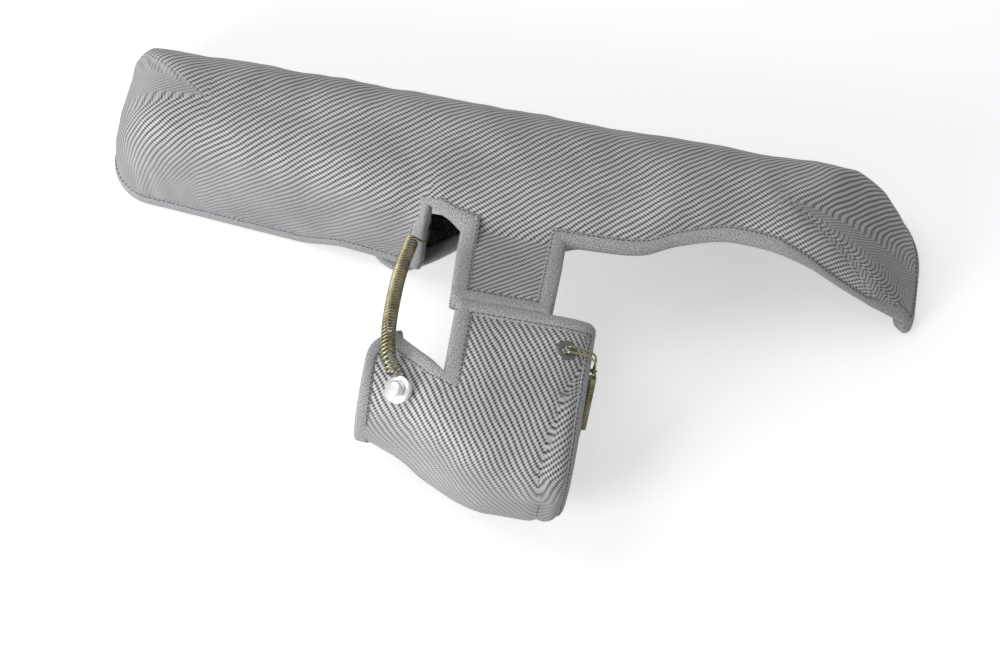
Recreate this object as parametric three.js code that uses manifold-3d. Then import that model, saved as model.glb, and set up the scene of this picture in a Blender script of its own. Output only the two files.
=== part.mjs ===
import * as THREE from "three";
import Module from "manifold-3d";

const wasm = await Module();
wasm.setup();

// Driving dimensions in millimetres. The blanket lies on its open back: X runs along the long
// shell, +Y is its far side and +Z its front. X = 0 is the middle of the neck panel.

// Quilt plies and the binding tape folded over their edges
const coverThickness = 1.2;
const coreThickness = 6.5;
const liningThickness = 1.0;
const plyGap = 0.3;
const tapeThickness = 0.8;
const tapeWidth = 9;
const tapeGap = 0.5;
const tapeEndGap = 0.9;
const hemRow = 11; // first row of the quilt behind an edge, a little wider than the tape

// Manifold shell
const barLeft = 246;
const barRight = 247;
const barBack = 54;
const barHeight = 78;
const ridgeY = 8;
const ridgeInsetLeft = 56;
const ridgeInsetRight = 97;
const farCornerRadius = 42;
const squareCornerRadius = 13;
const nearLeftCornerRadius = 28;
const sideHeight = 45; // row of the quilt half-way up the walls
const wallSquareness = 3;
const neckSquareness = 4;
const rightEndSquareness = 1.5;

// Notch, neck panel and the edges cut away beside it
const notchLeft = 53;
const neckHalfWidth = 30;
const neckTaper = 0.93;
const lipHeight = 70;
const flapSeatHeight = 10; // the near wall's rim is raised here to pass over the neck flap

// Turbine shell: a rounded box section drawn along X, smaller towards the outlet
const drumRight = 55;
const drumHalfDepth = 62;
const drumHalfHeight = 48.4;
const drumCentreY = -139;
const outletX = -70;
const outletHalfDepth = 31;
const outletHalfHeight = 35;
const outletDrop = 2;
const nearTaperStart = 12;
const frontTaperStart = -22;
const drumSquareness = 3;
const outletSquareness = 2.4;
const housingOpening = 0.78; // opening at the right end as a share of the section
const shoulderShare = 0.965;
const notchX = -24;
const drumTopY = -99;
const notchApexY = -146;
const lobeTipY = -115.5;
const lobeTipReach = 29;
const rearEdgeY = -128;
const seamGap = 0.3;

// Neck flap behind the notch
const flapThickness = 5;
const flapLeft = -86;
const flapRight = -31;
const flapInnerY = -6;

// Springs, wires and the button
const wireRadius = 0.6;
const coilRadius = 4.25;
const coilPitch = 1.75;
const coilSteps = 6;
const buttonDiscRadius = 7.85;
const buttonHeadRadius = 4.6;
const buttonHeadHeight = 5;
const rivetRadius = 2.2;
const rivetClearance = 0.4;
const washerThickness = 1;
const hookSpace = 3.4; // height between the two washers for the spring's hook
const fitGap = 0.3;
const sliver = 0.012; // slimmer triangles than this are merged after a cut
const cutGap = 0.2; // left where a tape is trimmed beside its own quilt
const hookRadius = 3.4;
const anchorRadius = 1.5;
const eyeletRadius = 3.4;
const eyeletFlange = 6;
const eyeletClinch = 4.2;
const bailHalfWidth = 1.7;
const eyeletWall = 0.8;
const sideCoilRadius = 3;
const sideHookY = -140;
const rimTapeRise = 5.8; // the binding's inner edge stands this far above the right rim

const quiltThickness = coverThickness + plyGap + coreThickness + plyGap + liningThickness;
const coreLevel = -coverThickness - plyGap;
const liningLevel = coreLevel - coreThickness - plyGap;
const shellPlies = [[0, -coverThickness], [coreLevel, coreLevel - coreThickness], [liningLevel, -quiltThickness]];
const tapeReach = tapeGap + tapeThickness;
const edgeLevel = tapeReach; // a rim's own height, so that its tape lies on the floor
const up = new THREE.Vector3(0, 0, 1);

const clothGrey = 0x8b8b8d;
const tapeGrey = 0xa8a8ac;
const materials = {
  cover: new THREE.MeshStandardMaterial({ color: clothGrey, roughness: 0.9, metalness: 0 }),
  core: new THREE.MeshStandardMaterial({ color: 0xe4ddca, roughness: 1, metalness: 0 }),
  lining: new THREE.MeshStandardMaterial({ color: 0x5a5a5c, roughness: 0.95, metalness: 0 }),
  tape: new THREE.MeshStandardMaterial({ color: tapeGrey, roughness: 0.95, metalness: 0 }),
  spring: new THREE.MeshStandardMaterial({ color: 0xb7b298, roughness: 0.3, metalness: 1 }),
  steel: new THREE.MeshStandardMaterial({ color: 0xe6e6e6, roughness: 0.15, metalness: 1 }),
};

const group = new THREE.Group();

// A closed solid collected from corners and faces. Corners at one place are shared.
class Solid {
  constructor() {
    this.points = [];
    this.faces = [];
    this.seen = new Map();
  }

  corner(v) {
    const key = [v.x, v.y, v.z].map((c) => Math.round(c * 2000)).join();
    if (!this.seen.has(key)) {
      this.seen.set(key, this.points.length);
      this.points.push(v.clone());
    }
    return this.seen.get(key);
  }

  triangle(a, b, c) {
    const ids = [a, b, c].map((v) => this.corner(v));
    if (new Set(ids).size === 3) this.faces.push(ids);
  }

  quad(a, b, c, d) {
    this.triangle(a, b, c);
    this.triangle(a, c, d);
  }

  volume() {
    const sixth = (p, q, r) => p.dot(new THREE.Vector3().crossVectors(q, r)) / 6;
    return this.faces.reduce((sum, ids) => sum + sixth(...ids.map((id) => this.points[id])), 0);
  }

  geometry() {
    const faces = this.volume() < 0 ? this.faces.map(([a, b, c]) => [a, c, b]) : this.faces;
    const geometry = new THREE.BufferGeometry();
    const places = this.points.flatMap((p) => [p.x, p.y, p.z]);
    geometry.setAttribute("position", new THREE.Float32BufferAttribute(places, 3));
    geometry.setIndex(faces.flat());
    return geometry;
  }
}

function solidFrom(geometry, matrix = new THREE.Matrix4()) {
  const flat = geometry.index ? geometry.toNonIndexed() : geometry;
  const place = flat.getAttribute("position");
  const solid = new Solid();
  for (let k = 0; k < place.count; k += 3) {
    const corners = [k, k + 1, k + 2].map((n) => new THREE.Vector3().fromBufferAttribute(place, n));
    solid.triangle(...corners.map((v) => v.applyMatrix4(matrix)));
  }
  return solid;
}

function toManifold(geometry) {
  const vertProperties = new Float32Array(geometry.getAttribute("position").array);
  const triVerts = new Uint32Array(geometry.getIndex().array);
  return new wasm.Manifold(new wasm.Mesh({ numProp: 3, vertProperties, triVerts }));
}

// Cuts other solids out of one, and keeps its largest piece
function cutAway(geometry, cutters) {
  let body = toManifold(geometry);
  for (const cutter of cutters) body = body.subtract(toManifold(cutter));
  const [largest] = body.decompose().sort((a, b) => b.volume() - a.volume());
  const mesh = largest.simplify(sliver).getMesh();
  const cut = new THREE.BufferGeometry();
  cut.setAttribute("position", new THREE.Float32BufferAttribute(Array.from(mesh.vertProperties), 3));
  cut.setIndex(Array.from(mesh.triVerts));
  return cut;
}

function addPart(name, geometry, material) {
  const mesh = new THREE.Mesh(geometry, material);
  mesh.name = name;
  geometry.computeVertexNormals();
  group.add(mesh);
}

// A quilted panel: a grid of points on its outer face, with some cells left out. Plies and tapes
// are both built on it, so that they stay parallel.
class Quilt {
  constructor(points, { hasCell = () => true, closed = false, fixNormal = (n) => n, plies }) {
    this.points = points;
    this.closed = closed;
    this.columns = points.length;
    this.rows = points[0].length;
    this.hasCell = hasCell;
    this.plies = plies;
    this.thickness = -plies[plies.length - 1][1];
    this.normals = points.map((column, i) => column.map((p, j) => fixNormal(this.normalAt(i, j), i, j)));
  }

  wrap(i) {
    return this.closed ? (i + this.columns) % this.columns : i;
  }

  filled(i, j) {
    if (j < 0 || j > this.rows - 2) return false;
    if (!this.closed && (i < 0 || i > this.columns - 2)) return false;
    return this.hasCell(this.wrap(i), j);
  }

  point(i, j) {
    return this.points[this.wrap(i)][j];
  }

  cellNormal(i, j) {
    const across = this.point(i + 1, j + 1).clone().sub(this.point(i, j));
    const back = this.point(i, j + 1).clone().sub(this.point(i + 1, j));
    return across.cross(back).normalize();
  }

  normalAt(i, j) {
    if (this.closed && j === this.rows - 1) return up.clone();
    const cells = [[i, j], [i - 1, j], [i, j - 1], [i - 1, j - 1]].filter(([a, b]) => this.filled(a, b));
    const sum = new THREE.Vector3();
    for (const [a, b] of cells) sum.add(this.cellNormal(a, b));
    return sum.length() > 0 ? sum.normalize() : up.clone();
  }

  at(i, j, level) {
    return this.point(i, j).clone().addScaledVector(this.normals[this.wrap(i)][j], level);
  }

  ply(outer, inner) {
    const solid = new Solid();
    for (let i = 0; i < this.columns; i += 1) {
      for (let j = 0; j < this.rows - 1; j += 1) {
        if (!this.filled(i, j)) continue;
        const ring = [[i, j], [i + 1, j], [i + 1, j + 1], [i, j + 1]];
        const outside = ring.map(([a, b]) => this.at(a, b, outer));
        const inside = ring.map(([a, b]) => this.at(a, b, inner));
        solid.quad(...outside);
        solid.triangle(inside[0], inside[2], inside[1]);
        solid.triangle(inside[0], inside[3], inside[2]);
        const beyond = [[i, j - 1], [i + 1, j], [i, j + 1], [i - 1, j]];
        beyond.forEach(([a, b], k) => {
          const ridge = this.closed && b === this.rows - 1;
          if (ridge || this.filled(a, b)) return;
          const next = (k + 1) % 4;
          solid.quad(outside[next], outside[k], inside[k], inside[next]);
        });
      }
    }
    return solid.geometry();
  }

  // A point at some level and some way in from the edge, along the rows or columns named
  inset([i, j, di, dj], level, distance) {
    const start = this.at(i, j, level);
    const result = start.clone();
    for (const [a, b] of [[di, 0], [0, dj]]) {
      if (a === 0 && b === 0) continue;
      const inward = this.at(i + a, j + b, level).sub(start);
      const reach = Math.min(distance, inward.length() - tapeEndGap);
      result.add(inward.setLength(Math.abs(reach)).multiplyScalar(Math.sign(reach)));
    }
    return result;
  }

  // Binding tape folded over an edge. Each stop is [column, row, inward column, inward row].
  tape(stops, onFloor = false) {
    const outerFace = [tapeGap, tapeReach];
    const innerFace = [-this.thickness - tapeGap, -this.thickness - tapeReach];
    const sections = stops.map((stop) => [
      this.inset(stop, outerFace[1], tapeWidth),
      this.inset(stop, outerFace[1], -tapeReach),
      this.inset(stop, innerFace[1], -tapeReach),
      this.inset(stop, innerFace[1], tapeWidth),
      this.inset(stop, innerFace[0], tapeWidth),
      this.inset(stop, innerFace[0], -tapeGap),
      this.inset(stop, outerFace[0], -tapeGap),
      this.inset(stop, outerFace[0], tapeWidth),
    ]);
    if (onFloor) {
      for (const section of sections) {
        const floor = Math.min(section[1].z, section[2].z);
        for (const k of [1, 2]) section[k].z = floor;
        for (const k of [5, 6]) section[k].z = floor + tapeThickness;
      }
    }
    const shift = (section, from, to) => {
      const along = to[1].clone().sub(from[1]).setLength(tapeEndGap);
      for (const p of section) p.add(along);
    };
    const last = sections.length - 1;
    shift(sections[0], sections[0], sections[1]);
    shift(sections[last], sections[last], sections[last - 1]);
    const tips = new Set([0, 3, 4, 5, 7]);
    const turn = (s, k) => {
      const [i, j, di, dj] = stops[s];
      const [nextI, nextJ, nextDi, nextDj] = stops[s + 1];
      const alongRow = nextJ === j;
      const stepI = alongRow ? nextI - i : di || nextDi;
      const stepJ = alongRow ? dj || nextDj : nextJ - j;
      return Math.sign(stepI) === Math.sign(stepJ) ? !tips.has(k) : tips.has(k);
    };
    const folded = sweep(sections, [[0, 1, 6, 7], [1, 2, 5, 6], [2, 3, 4, 5]], turn);
    const cutters = [0, cutGap].map((grown) =>
      this.plies.map(([outer, inner]) => this.ply(outer + grown, inner - grown)));
    return cutAway(folded, cutters.flat());
  }

  // A seat on one cell, and its normal
  seat(i, j, u = 0.5, v = 0.5) {
    const low = this.point(i, j).clone().lerp(this.point(i + 1, j), u);
    const high = this.point(i, j + 1).clone().lerp(this.point(i + 1, j + 1), u);
    const place = low.lerp(high, v);
    return { place, normal: this.cellNormal(i, j) };
  }

  // How far a level of one cell lies from its seat, at its deepest corner
  depthOf(i, j, level) {
    const { place, normal } = this.seat(i, j);
    const corners = [[i, j], [i + 1, j], [i + 1, j + 1], [i, j + 1]];
    return Math.min(...corners.map(([a, b]) => this.at(a, b, level).sub(place).dot(normal)));
  }
}

// A seat on four corners that are not quite flat, pushed out to the highest of them
function seatOn(corners, share, gap) {
  const [a, b, c, d] = corners;
  const normal = c.clone().sub(a).cross(d.clone().sub(b)).normalize();
  const place = a.clone().lerp(b, 0.5).lerp(c.clone().lerp(d, 0.5), share);
  const rise = Math.max(...corners.map((p) => p.clone().sub(place).dot(normal)));
  return { place: place.addScaledVector(normal, rise + gap), normal };
}

// Presses one cell of a grid of points flat, as the cloth is under a washer
function pressFlat(points, i, j) {
  const corners = [points[i][j], points[i + 1][j], points[i + 1][j + 1], points[i][j + 1]];
  const centre = corners.reduce((sum, p) => sum.add(p), new THREE.Vector3()).divideScalar(4);
  const across = corners[2].clone().sub(corners[0]);
  const normal = across.cross(corners[3].clone().sub(corners[1])).normalize();
  for (const p of corners) p.addScaledVector(normal, -p.clone().sub(centre).dot(normal));
}

// Joins like sections into a solid. The caps are the quads named by corner number. Each side face
// is split from its first corner to the opposite one, or the other way where turn says so.
function sweep(sections, caps, turn = () => true) {
  const solid = new Solid();
  const count = sections[0].length;
  for (let s = 0; s < sections.length - 1; s += 1) {
    for (let k = 0; k < count; k += 1) {
      const next = (k + 1) % count;
      const face = [sections[s][k], sections[s][next], sections[s + 1][next], sections[s + 1][k]];
      if (turn(s, k)) solid.quad(...face);
      else solid.quad(face[1], face[2], face[3], face[0]);
    }
  }
  const first = sections[0];
  const last = sections[sections.length - 1];
  for (const [a, b, c, d] of caps) {
    solid.quad(first[d], first[c], first[b], first[a]);
    solid.quad(last[a], last[b], last[c], last[d]);
  }
  return solid.geometry();
}

// A wire along a list of points, four-sided, its section carried along without twist
function wire(points, radius) {
  const sides = 4;
  let across = new THREE.Vector3(0.3, 0.5, 0.8);
  const sections = points.map((p, k) => {
    const before = points[Math.max(k - 1, 0)];
    const after = points[Math.min(k + 1, points.length - 1)];
    const along = after.clone().sub(before).normalize();
    across = across.clone().addScaledVector(along, -across.dot(along)).normalize();
    const third = new THREE.Vector3().crossVectors(along, across);
    return Array.from({ length: sides }, (_, n) => {
      const angle = (n / sides) * 2 * Math.PI;
      const side = across.clone().multiplyScalar(Math.cos(angle)).addScaledVector(third, Math.sin(angle));
      return p.clone().addScaledVector(side, radius);
    });
  });
  return sweep(sections, [[0, 1, 2, 3]]);
}

// Points of a coil wound round a curve, between its ends
function coil(curve, radius, pitch, steps) {
  const turns = Math.round(curve.getLength() / pitch);
  const count = turns * steps;
  let across = new THREE.Vector3(1, 0, 0);
  return Array.from({ length: count + 1 }, (_, k) => {
    const along = curve.getTangentAt(k / count);
    across = across.clone().addScaledVector(along, -across.dot(along)).normalize();
    const third = new THREE.Vector3().crossVectors(along, across);
    const angle = (k / steps) * 2 * Math.PI;
    return curve
      .getPointAt(k / count)
      .addScaledVector(across, radius * Math.cos(angle))
      .addScaledVector(third, radius * Math.sin(angle));
  });
}

// A turned piece: its profile in radius and height, set on a seat
function turned(profile, { place, normal }, lift = 0) {
  const points = profile.map(([r, h]) => new THREE.Vector2(r, h + lift));
  const turn = new THREE.Quaternion().setFromUnitVectors(new THREE.Vector3(0, 1, 0), normal);
  const matrix = new THREE.Matrix4().compose(place, turn, new THREE.Vector3(1, 1, 1));
  return solidFrom(new THREE.LatheGeometry(points, 20), matrix).geometry();
}

function ring(hole, radius, thickness) {
  return [[hole, 0], [radius, 0], [radius, thickness], [hole, thickness], [hole, 0]];
}

function drill(seat, radius) {
  const reach = 3 * quiltThickness;
  return turned([[0, -reach], [radius, -reach], [radius, reach], [0, reach]], seat);
}

function seatFrame({ place, normal }, towards) {
  const forward = towards.clone().sub(place);
  forward.addScaledVector(normal, -forward.dot(normal)).normalize();
  const side = new THREE.Vector3().crossVectors(normal, forward);
  return (f, s, n) =>
    place.clone().addScaledVector(forward, f).addScaledVector(side, s).addScaledVector(normal, n);
}

function lengthsOf(line) {
  const lengths = [0];
  for (let k = 1; k < line.length; k += 1) lengths.push(lengths[k - 1] + line[k].distanceTo(line[k - 1]));
  return lengths;
}

function pointAtLength(line, lengths, wanted) {
  if (wanted >= lengths[lengths.length - 1]) return line[line.length - 1].clone();
  const k = Math.max(1, lengths.findIndex((length) => length > wanted));
  const share = (wanted - lengths[k - 1]) / (lengths[k] - lengths[k - 1]);
  return line[k - 1].clone().lerp(line[k], share);
}

function lengthAtHeight(line, lengths, height) {
  const k = Math.max(1, line.findIndex((p) => p.z >= height));
  const share = (height - line[k - 1].z) / (line[k].z - line[k - 1].z);
  return lengths[k - 1] + share * (lengths[k] - lengths[k - 1]);
}

// Turbine shell. Its columns run from the right end to the outlet, its rows round the section.
const apexRow = 2;
const roundRows = 12;
const lobeShares = [0.32, 0.64, 1];
const mainXs = [drumRight, drumRight - 4, 34, 14, -6, notchX + 7, notchX];
const lobeReach = notchX - outletX;

function taper(x, start) {
  const along = THREE.MathUtils.clamp((start - x) / (start - outletX), 0, 1);
  return along * along * (3 - 2 * along);
}

function drumSection(x) {
  const near = taper(x, nearTaperStart);
  const front = taper(x, frontTaperStart);
  const share = x >= drumRight ? housingOpening : x > mainXs[2] ? shoulderShare : 1;
  return {
    centreY: drumCentreY - outletDrop * front,
    nearDepth: (drumHalfDepth + (outletHalfDepth - drumHalfDepth) * near) * share,
    farDepth: (drumHalfDepth + (outletHalfDepth - drumHalfDepth) * front) * share,
    halfHeight: (drumHalfHeight + (outletHalfHeight - drumHalfHeight) * front) * share,
    squareness: drumSquareness + (outletSquareness - drumSquareness) * front,
  };
}

const drumCentreZ = edgeLevel + drumHalfHeight;

function drumPoint(x, angle) {
  const section = drumSection(x);
  const power = 2 / section.squareness;
  const side = Math.sign(Math.cos(angle)) * Math.abs(Math.cos(angle)) ** power;
  const height = Math.sign(Math.sin(angle)) * Math.abs(Math.sin(angle)) ** power;
  const y = section.centreY + (side > 0 ? section.farDepth : section.nearDepth) * side;
  return new THREE.Vector3(x, y, drumCentreZ + section.halfHeight * height);
}

// Angle on the front (or rear) face at which the section passes a given Y
function drumAngle(x, y, rear = false) {
  const section = drumSection(x);
  const depth = y > section.centreY ? section.farDepth : section.nearDepth;
  const side = THREE.MathUtils.clamp((y - section.centreY) / depth, -1, 1);
  const angle = Math.acos(Math.sign(side) * Math.abs(side) ** (section.squareness / 2));
  return rear ? 2 * Math.PI - angle : angle;
}

function drumColumn(x, startY, reachAt = () => 0) {
  const steps = 240;
  const from = drumAngle(x, startY);
  const to = drumAngle(x, rearEdgeY, true);
  const line = Array.from({ length: steps + 1 }, (_, k) => {
    const angle = from + ((to - from) * k) / steps;
    const p = drumPoint(x, angle);
    p.x -= reachAt(p);
    return p;
  });
  const lengths = lengthsOf(line);
  const rest = lengths[steps] - 2 * hemRow;
  const stops = Array.from({ length: roundRows + 1 }, (_, k) => hemRow + (rest * k) / roundRows);
  return [0, ...stops, lengths[steps]].map((stop) => pointAtLength(line, lengths, stop));
}

function frontRow(x, y) {
  return drumPoint(x, drumAngle(x, y));
}

const mainColumns = mainXs.map((x) => {
  const top = frontRow(x, drumTopY);
  const hem = frontRow(x, drumTopY - hemRow);
  return [top, hem, ...drumColumn(x, notchApexY)];
});
const lobeColumns = lobeShares.map((share) => {
  const startY = notchApexY + (lobeTipY - notchApexY) * share;
  const x = notchX - share * lobeReach;
  // the lobe is narrower towards its tip
  const draw = (p) => {
    const near = THREE.MathUtils.clamp((p.y - lobeTipY + 22) / 22, 0, 1);
    const onFront = p.z > drumCentreZ ? 1 : 0;
    return -share * (lobeReach - lobeTipReach) * near ** 2 * onFront;
  };
  const column = drumColumn(x, startY, draw);
  return [column[0].clone(), column[0].clone(), ...column];
});
const drumPoints = [...mainColumns, ...lobeColumns];
const buttonCell = [mainColumns.length, apexRow + 2];
const eyeletCell = [1, 1];
pressFlat(drumPoints, ...buttonCell);
pressFlat(drumPoints, ...eyeletCell);
const drumQuilt = new Quilt(
  drumPoints,
  { hasCell: (i, j) => j >= apexRow || i < mainColumns.length - 1, plies: shellPlies },
);
const notchCol = mainColumns.length - 1;
const outletCol = drumQuilt.columns - 1;
const rearRow = drumQuilt.rows - 1;

// Manifold shell. Columns of the quilt run from the rim up to the ridge, all round the outline.
const rimRow = 0;
const cutRow = 2;
const ridgeRow = 6;
const ridgeLeft = -(barLeft - ridgeInsetLeft);
const ridgeRight = barRight - ridgeInsetRight;

function barColumn(x, y, options = {}) {
  return {
    x,
    y,
    ridgeX: Math.min(Math.max(x, ridgeLeft), ridgeRight),
    squareness: wallSquareness,
    cut: sideHeight,
    rim: edgeLevel,
    ...options,
  };
}

function cornerColumns(centreX, centreY, radius, from, to, steps, options) {
  return Array.from({ length: steps + 1 }, (_, k) => {
    const angle = THREE.MathUtils.degToRad(from + ((to - from) * k) / steps);
    const x = centreX + radius * Math.cos(angle);
    return barColumn(x, centreY + radius * Math.sin(angle), options(k / steps));
  });
}

const raised = flapSeatHeight;
const nearWall = [
  barColumn(ridgeLeft, -33),
  barColumn(-160, -35.5),
  barColumn(-128, -38),
  barColumn(-98, -41, { cut: 52, rim: raised }),
  barColumn(-notchLeft - hemRow, -45, { cut: 62, rim: raised }),
  barColumn(-notchLeft, -47, { cut: lipHeight, rim: raised, squareness: 3.4 }),
];
const neckOptions = { cut: lipHeight, squareness: neckSquareness };
const neckXs = [-neckHalfWidth, -neckHalfWidth + hemRow, 0, neckHalfWidth - hemRow, neckHalfWidth];
const neckColumns = neckXs.map((x) => barColumn(x, -59, neckOptions));
const cutAwayWall = [
  barColumn(52, -58, neckOptions),
  barColumn(75, -55, { cut: lipHeight - 1, squareness: 3.7 }),
  barColumn(96, -47, { cut: lipHeight, squareness: 3.3 }),
  barColumn(123, -41, { cut: lipHeight + 1 }),
  barColumn(ridgeRight, -38, { cut: lipHeight - 1 }),
  barColumn(178, -36, { cut: 61, squareness: 2.6 }),
  barColumn(206, -34, { cut: 43, squareness: 2.1 }),
  barColumn(229, -32, { cut: 25, squareness: 1.7 }),
];
const nearSide = [...nearWall, ...neckColumns, ...cutAwayWall];
const rightNear = -32;
const rightEnd = { squareness: rightEndSquareness, cut: 30 };
const rightCorner = cornerColumns(
  barRight - squareCornerRadius, rightNear + squareCornerRadius, squareCornerRadius, -45, 0, 1,
  (t) => ({ ...rightEnd, cut: 13 + 9 * t }),
);
const farRight = cornerColumns(
  barRight - farCornerRadius, barBack - farCornerRadius, farCornerRadius, 0, 90, 5,
  (t) => ({ squareness: rightEndSquareness + (wallSquareness - rightEndSquareness) * t ** 2, cut: 30 + 15 * t }),
);
const farSide = nearSide
  .filter((column) => column.ridgeX === column.x)
  .map((column) => barColumn(column.x, barBack))
  .reverse();
const leftFarCorner = cornerColumns(
  -barLeft + squareCornerRadius, barBack - squareCornerRadius, squareCornerRadius, 90, 180, 3, () => ({}),
);
const leftNearCorner = cornerColumns(
  -barLeft + nearLeftCornerRadius, nearLeftCornerRadius - 31, nearLeftCornerRadius, 180, 270, 4, () => ({}),
);
const barColumns = [
  ...nearSide,
  ...rightCorner,
  barColumn(barRight, -6, rightEnd),
  ...farRight,
  barColumn((barRight - farCornerRadius + ridgeRight) / 2, barBack),
  ...farSide,
  barColumn((ridgeLeft - barLeft + squareCornerRadius) / 2, barBack),
  ...leftFarCorner,
  barColumn(-barLeft, 19),
  ...leftNearCorner,
];

const notchColumn = nearWall.length - 1;
const neckFirst = nearWall.length;
const neckLast = neckFirst + neckColumns.length - 1;
const cornerColumn = nearSide.length;

// The wall of one column as a fine line from rim to ridge, then the rows at lengths along it
function barRows(column) {
  const steps = 90;
  const power = 2 / column.squareness;
  const line = Array.from({ length: steps + 1 }, (_, k) => {
    const angle = (k / steps) * (Math.PI / 2);
    const out = k === steps ? 0 : Math.cos(angle) ** power;
    const rise = k === 0 ? 0 : Math.sin(angle) ** power;
    return new THREE.Vector3(
      column.ridgeX + (column.x - column.ridgeX) * out,
      ridgeY + (column.y - ridgeY) * out,
      column.rim + (barHeight - column.rim) * rise,
    );
  });
  const lengths = lengthsOf(line);
  const total = lengths[steps];
  const cut = lengthAtHeight(line, lengths, column.cut);
  const hem = Math.min(hemRow, cut / 2);
  const rest = total - cut - hemRow;
  const stops = [0, hem, cut, cut + hemRow, cut + hemRow + rest / 3, cut + hemRow + (2 * rest) / 3, total];
  return stops.map((stop) => pointAtLength(line, lengths, stop));
}

// The neck panel: below the cut row its columns run out to the turbine shell's top edge instead of
// down a wall. Its end meets that edge square, with the two tapes side by side.
const meetColumn = 3;
const topEdge = drumQuilt.point(meetColumn, 0);
const topNormal = drumQuilt.normals[meetColumn][0];
const awayFromDrum = topEdge.clone().sub(drumQuilt.point(meetColumn, 1)).normalize();
const neckEnd = topEdge.clone().addScaledVector(awayFromDrum, 2 * tapeReach + seamGap);

function neckRows(column, rows) {
  const end = new THREE.Vector3(column.x * neckTaper, neckEnd.y, neckEnd.z);
  const hem = end.clone().add(rows[cutRow].clone().sub(end).setLength(hemRow));
  return [end, hem, ...rows.slice(cutRow)];
}

const barPoints = barColumns.map((column, i) => {
  const rows = barRows(column);
  return i >= neckFirst && i <= neckLast ? neckRows(column, rows) : rows;
});
const isNotch = (i) => i === notchColumn;
const isCutAway = (i) => i >= neckLast && i < cornerColumn;
const isNeck = (i) => i >= neckFirst && i <= neckLast;
const barQuilt = new Quilt(barPoints, {
  hasCell: (i, j) => j >= cutRow || !(isNotch(i) || isCutAway(i)),
  closed: true,
  plies: shellPlies,
  fixNormal: (normal, i, j) => {
    if (j !== rimRow) return normal;
    if (isNeck(i)) return topNormal.clone();
    return normal.setZ(0).normalize();
  },
});

// Holes through the turbine shell: one for the button's rivet, one for the eyelet
const buttonSeat = drumQuilt.seat(...buttonCell);
const eyeletSeat = drumQuilt.seat(...eyeletCell, 0.65, 0.3);
const rivetHole = drill(buttonSeat, rivetRadius + rivetClearance);
const eyeletHole = drill(eyeletSeat, eyeletRadius + fitGap);

["cover", "core", "lining"].forEach((name, n) => {
  const [outer, inner] = shellPlies[n];
  addPart(`manifold_${name}`, barQuilt.ply(outer, inner), materials[name]);
  const drum = cutAway(drumQuilt.ply(outer, inner), [rivetHole, eyeletHole]);
  addPart(`turbine_${name}`, drum, materials[name]);
});

// Binding tapes, each a run of stops along an edge
const range = (from, to) => {
  const step = Math.sign(to - from);
  return Array.from({ length: Math.abs(to - from) + 1 }, (_, k) => from + k * step);
};
const rimStops = [
  ...range(cornerColumn, barQuilt.columns).map((i) => [i, rimRow, 0, 1]),
  ...range(1, notchColumn).map((i) => [i, rimRow, 0, 1]),
];
rimStops[0] = [cornerColumn, rimRow, 1, 1];
rimStops[rimStops.length - 1] = [notchColumn, rimRow, -1, 1];
const notchStops = [
  [notchColumn, rimRow, -1, 1],
  [notchColumn, 1, -1, 0],
  [notchColumn, cutRow, -1, 1],
  [neckFirst, cutRow, 1, 1],
  [neckFirst, 1, 1, 0],
  [neckFirst, rimRow, 1, 1],
];
const neckEndStops = range(neckFirst, neckLast).map((i) => [i, rimRow, 0, 1]);
neckEndStops[0] = [neckFirst, rimRow, 1, 1];
neckEndStops[neckEndStops.length - 1] = [neckLast, rimRow, -1, 1];
const longEdgeStops = [
  [neckLast, rimRow, -1, 1],
  [neckLast, 1, -1, 0],
  [neckLast, cutRow, -1, 1],
  ...range(neckLast + 1, cornerColumn - 1).map((i) => [i, cutRow, 0, 1]),
  [cornerColumn, cutRow, 1, 1],
  [cornerColumn, 1, 1, 0],
  [cornerColumn, rimRow, 1, 1],
];
addPart("rim_tape", barQuilt.tape(rimStops, true), materials.tape);
addPart("outlet_notch_tape", barQuilt.tape(notchStops), materials.tape);
addPart("neck_end_tape", barQuilt.tape(neckEndStops), materials.tape);
addPart("long_edge_tape", barQuilt.tape(longEdgeStops), materials.tape);

const topStops = range(0, notchCol).map((i) => [i, 0, 0, 1]);
topStops[0] = [0, 0, 1, 1];
topStops[notchCol] = [notchCol, 0, -1, 1];
const vNotchStops = [
  [notchCol, 0, -1, 1],
  [notchCol, 1, -1, 0],
  [notchCol, apexRow, -1, 1],
  ...range(notchCol + 1, outletCol - 1).map((i) => [i, apexRow, 0, 1]),
  [outletCol, apexRow, -1, 1],
];
const outletStops = range(apexRow, rearRow).map((j) => [outletCol, j, -1, 0]);
outletStops[0] = [outletCol, apexRow, -1, 1];
outletStops[outletStops.length - 1] = [outletCol, rearRow, -1, -1];
const housingStops = range(0, rearRow).map((j) => [0, j, 1, 0]);
housingStops[0] = [0, 0, 1, 1];
housingStops[rearRow] = [0, rearRow, 1, -1];
const rearStops = range(0, outletCol).map((i) => [i, rearRow, 0, -1]);
rearStops[0] = [0, rearRow, 1, -1];
rearStops[outletCol] = [outletCol, rearRow, -1, -1];
addPart("turbine_top_tape", drumQuilt.tape(topStops), materials.tape);
addPart("v_notch_tape", drumQuilt.tape(vNotchStops), materials.tape);
addPart("outlet_tape", drumQuilt.tape(outletStops), materials.tape);
addPart("housing_tape", drumQuilt.tape(housingStops), materials.tape);
addPart("rear_edge_tape", drumQuilt.tape(rearStops), materials.tape);

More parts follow.
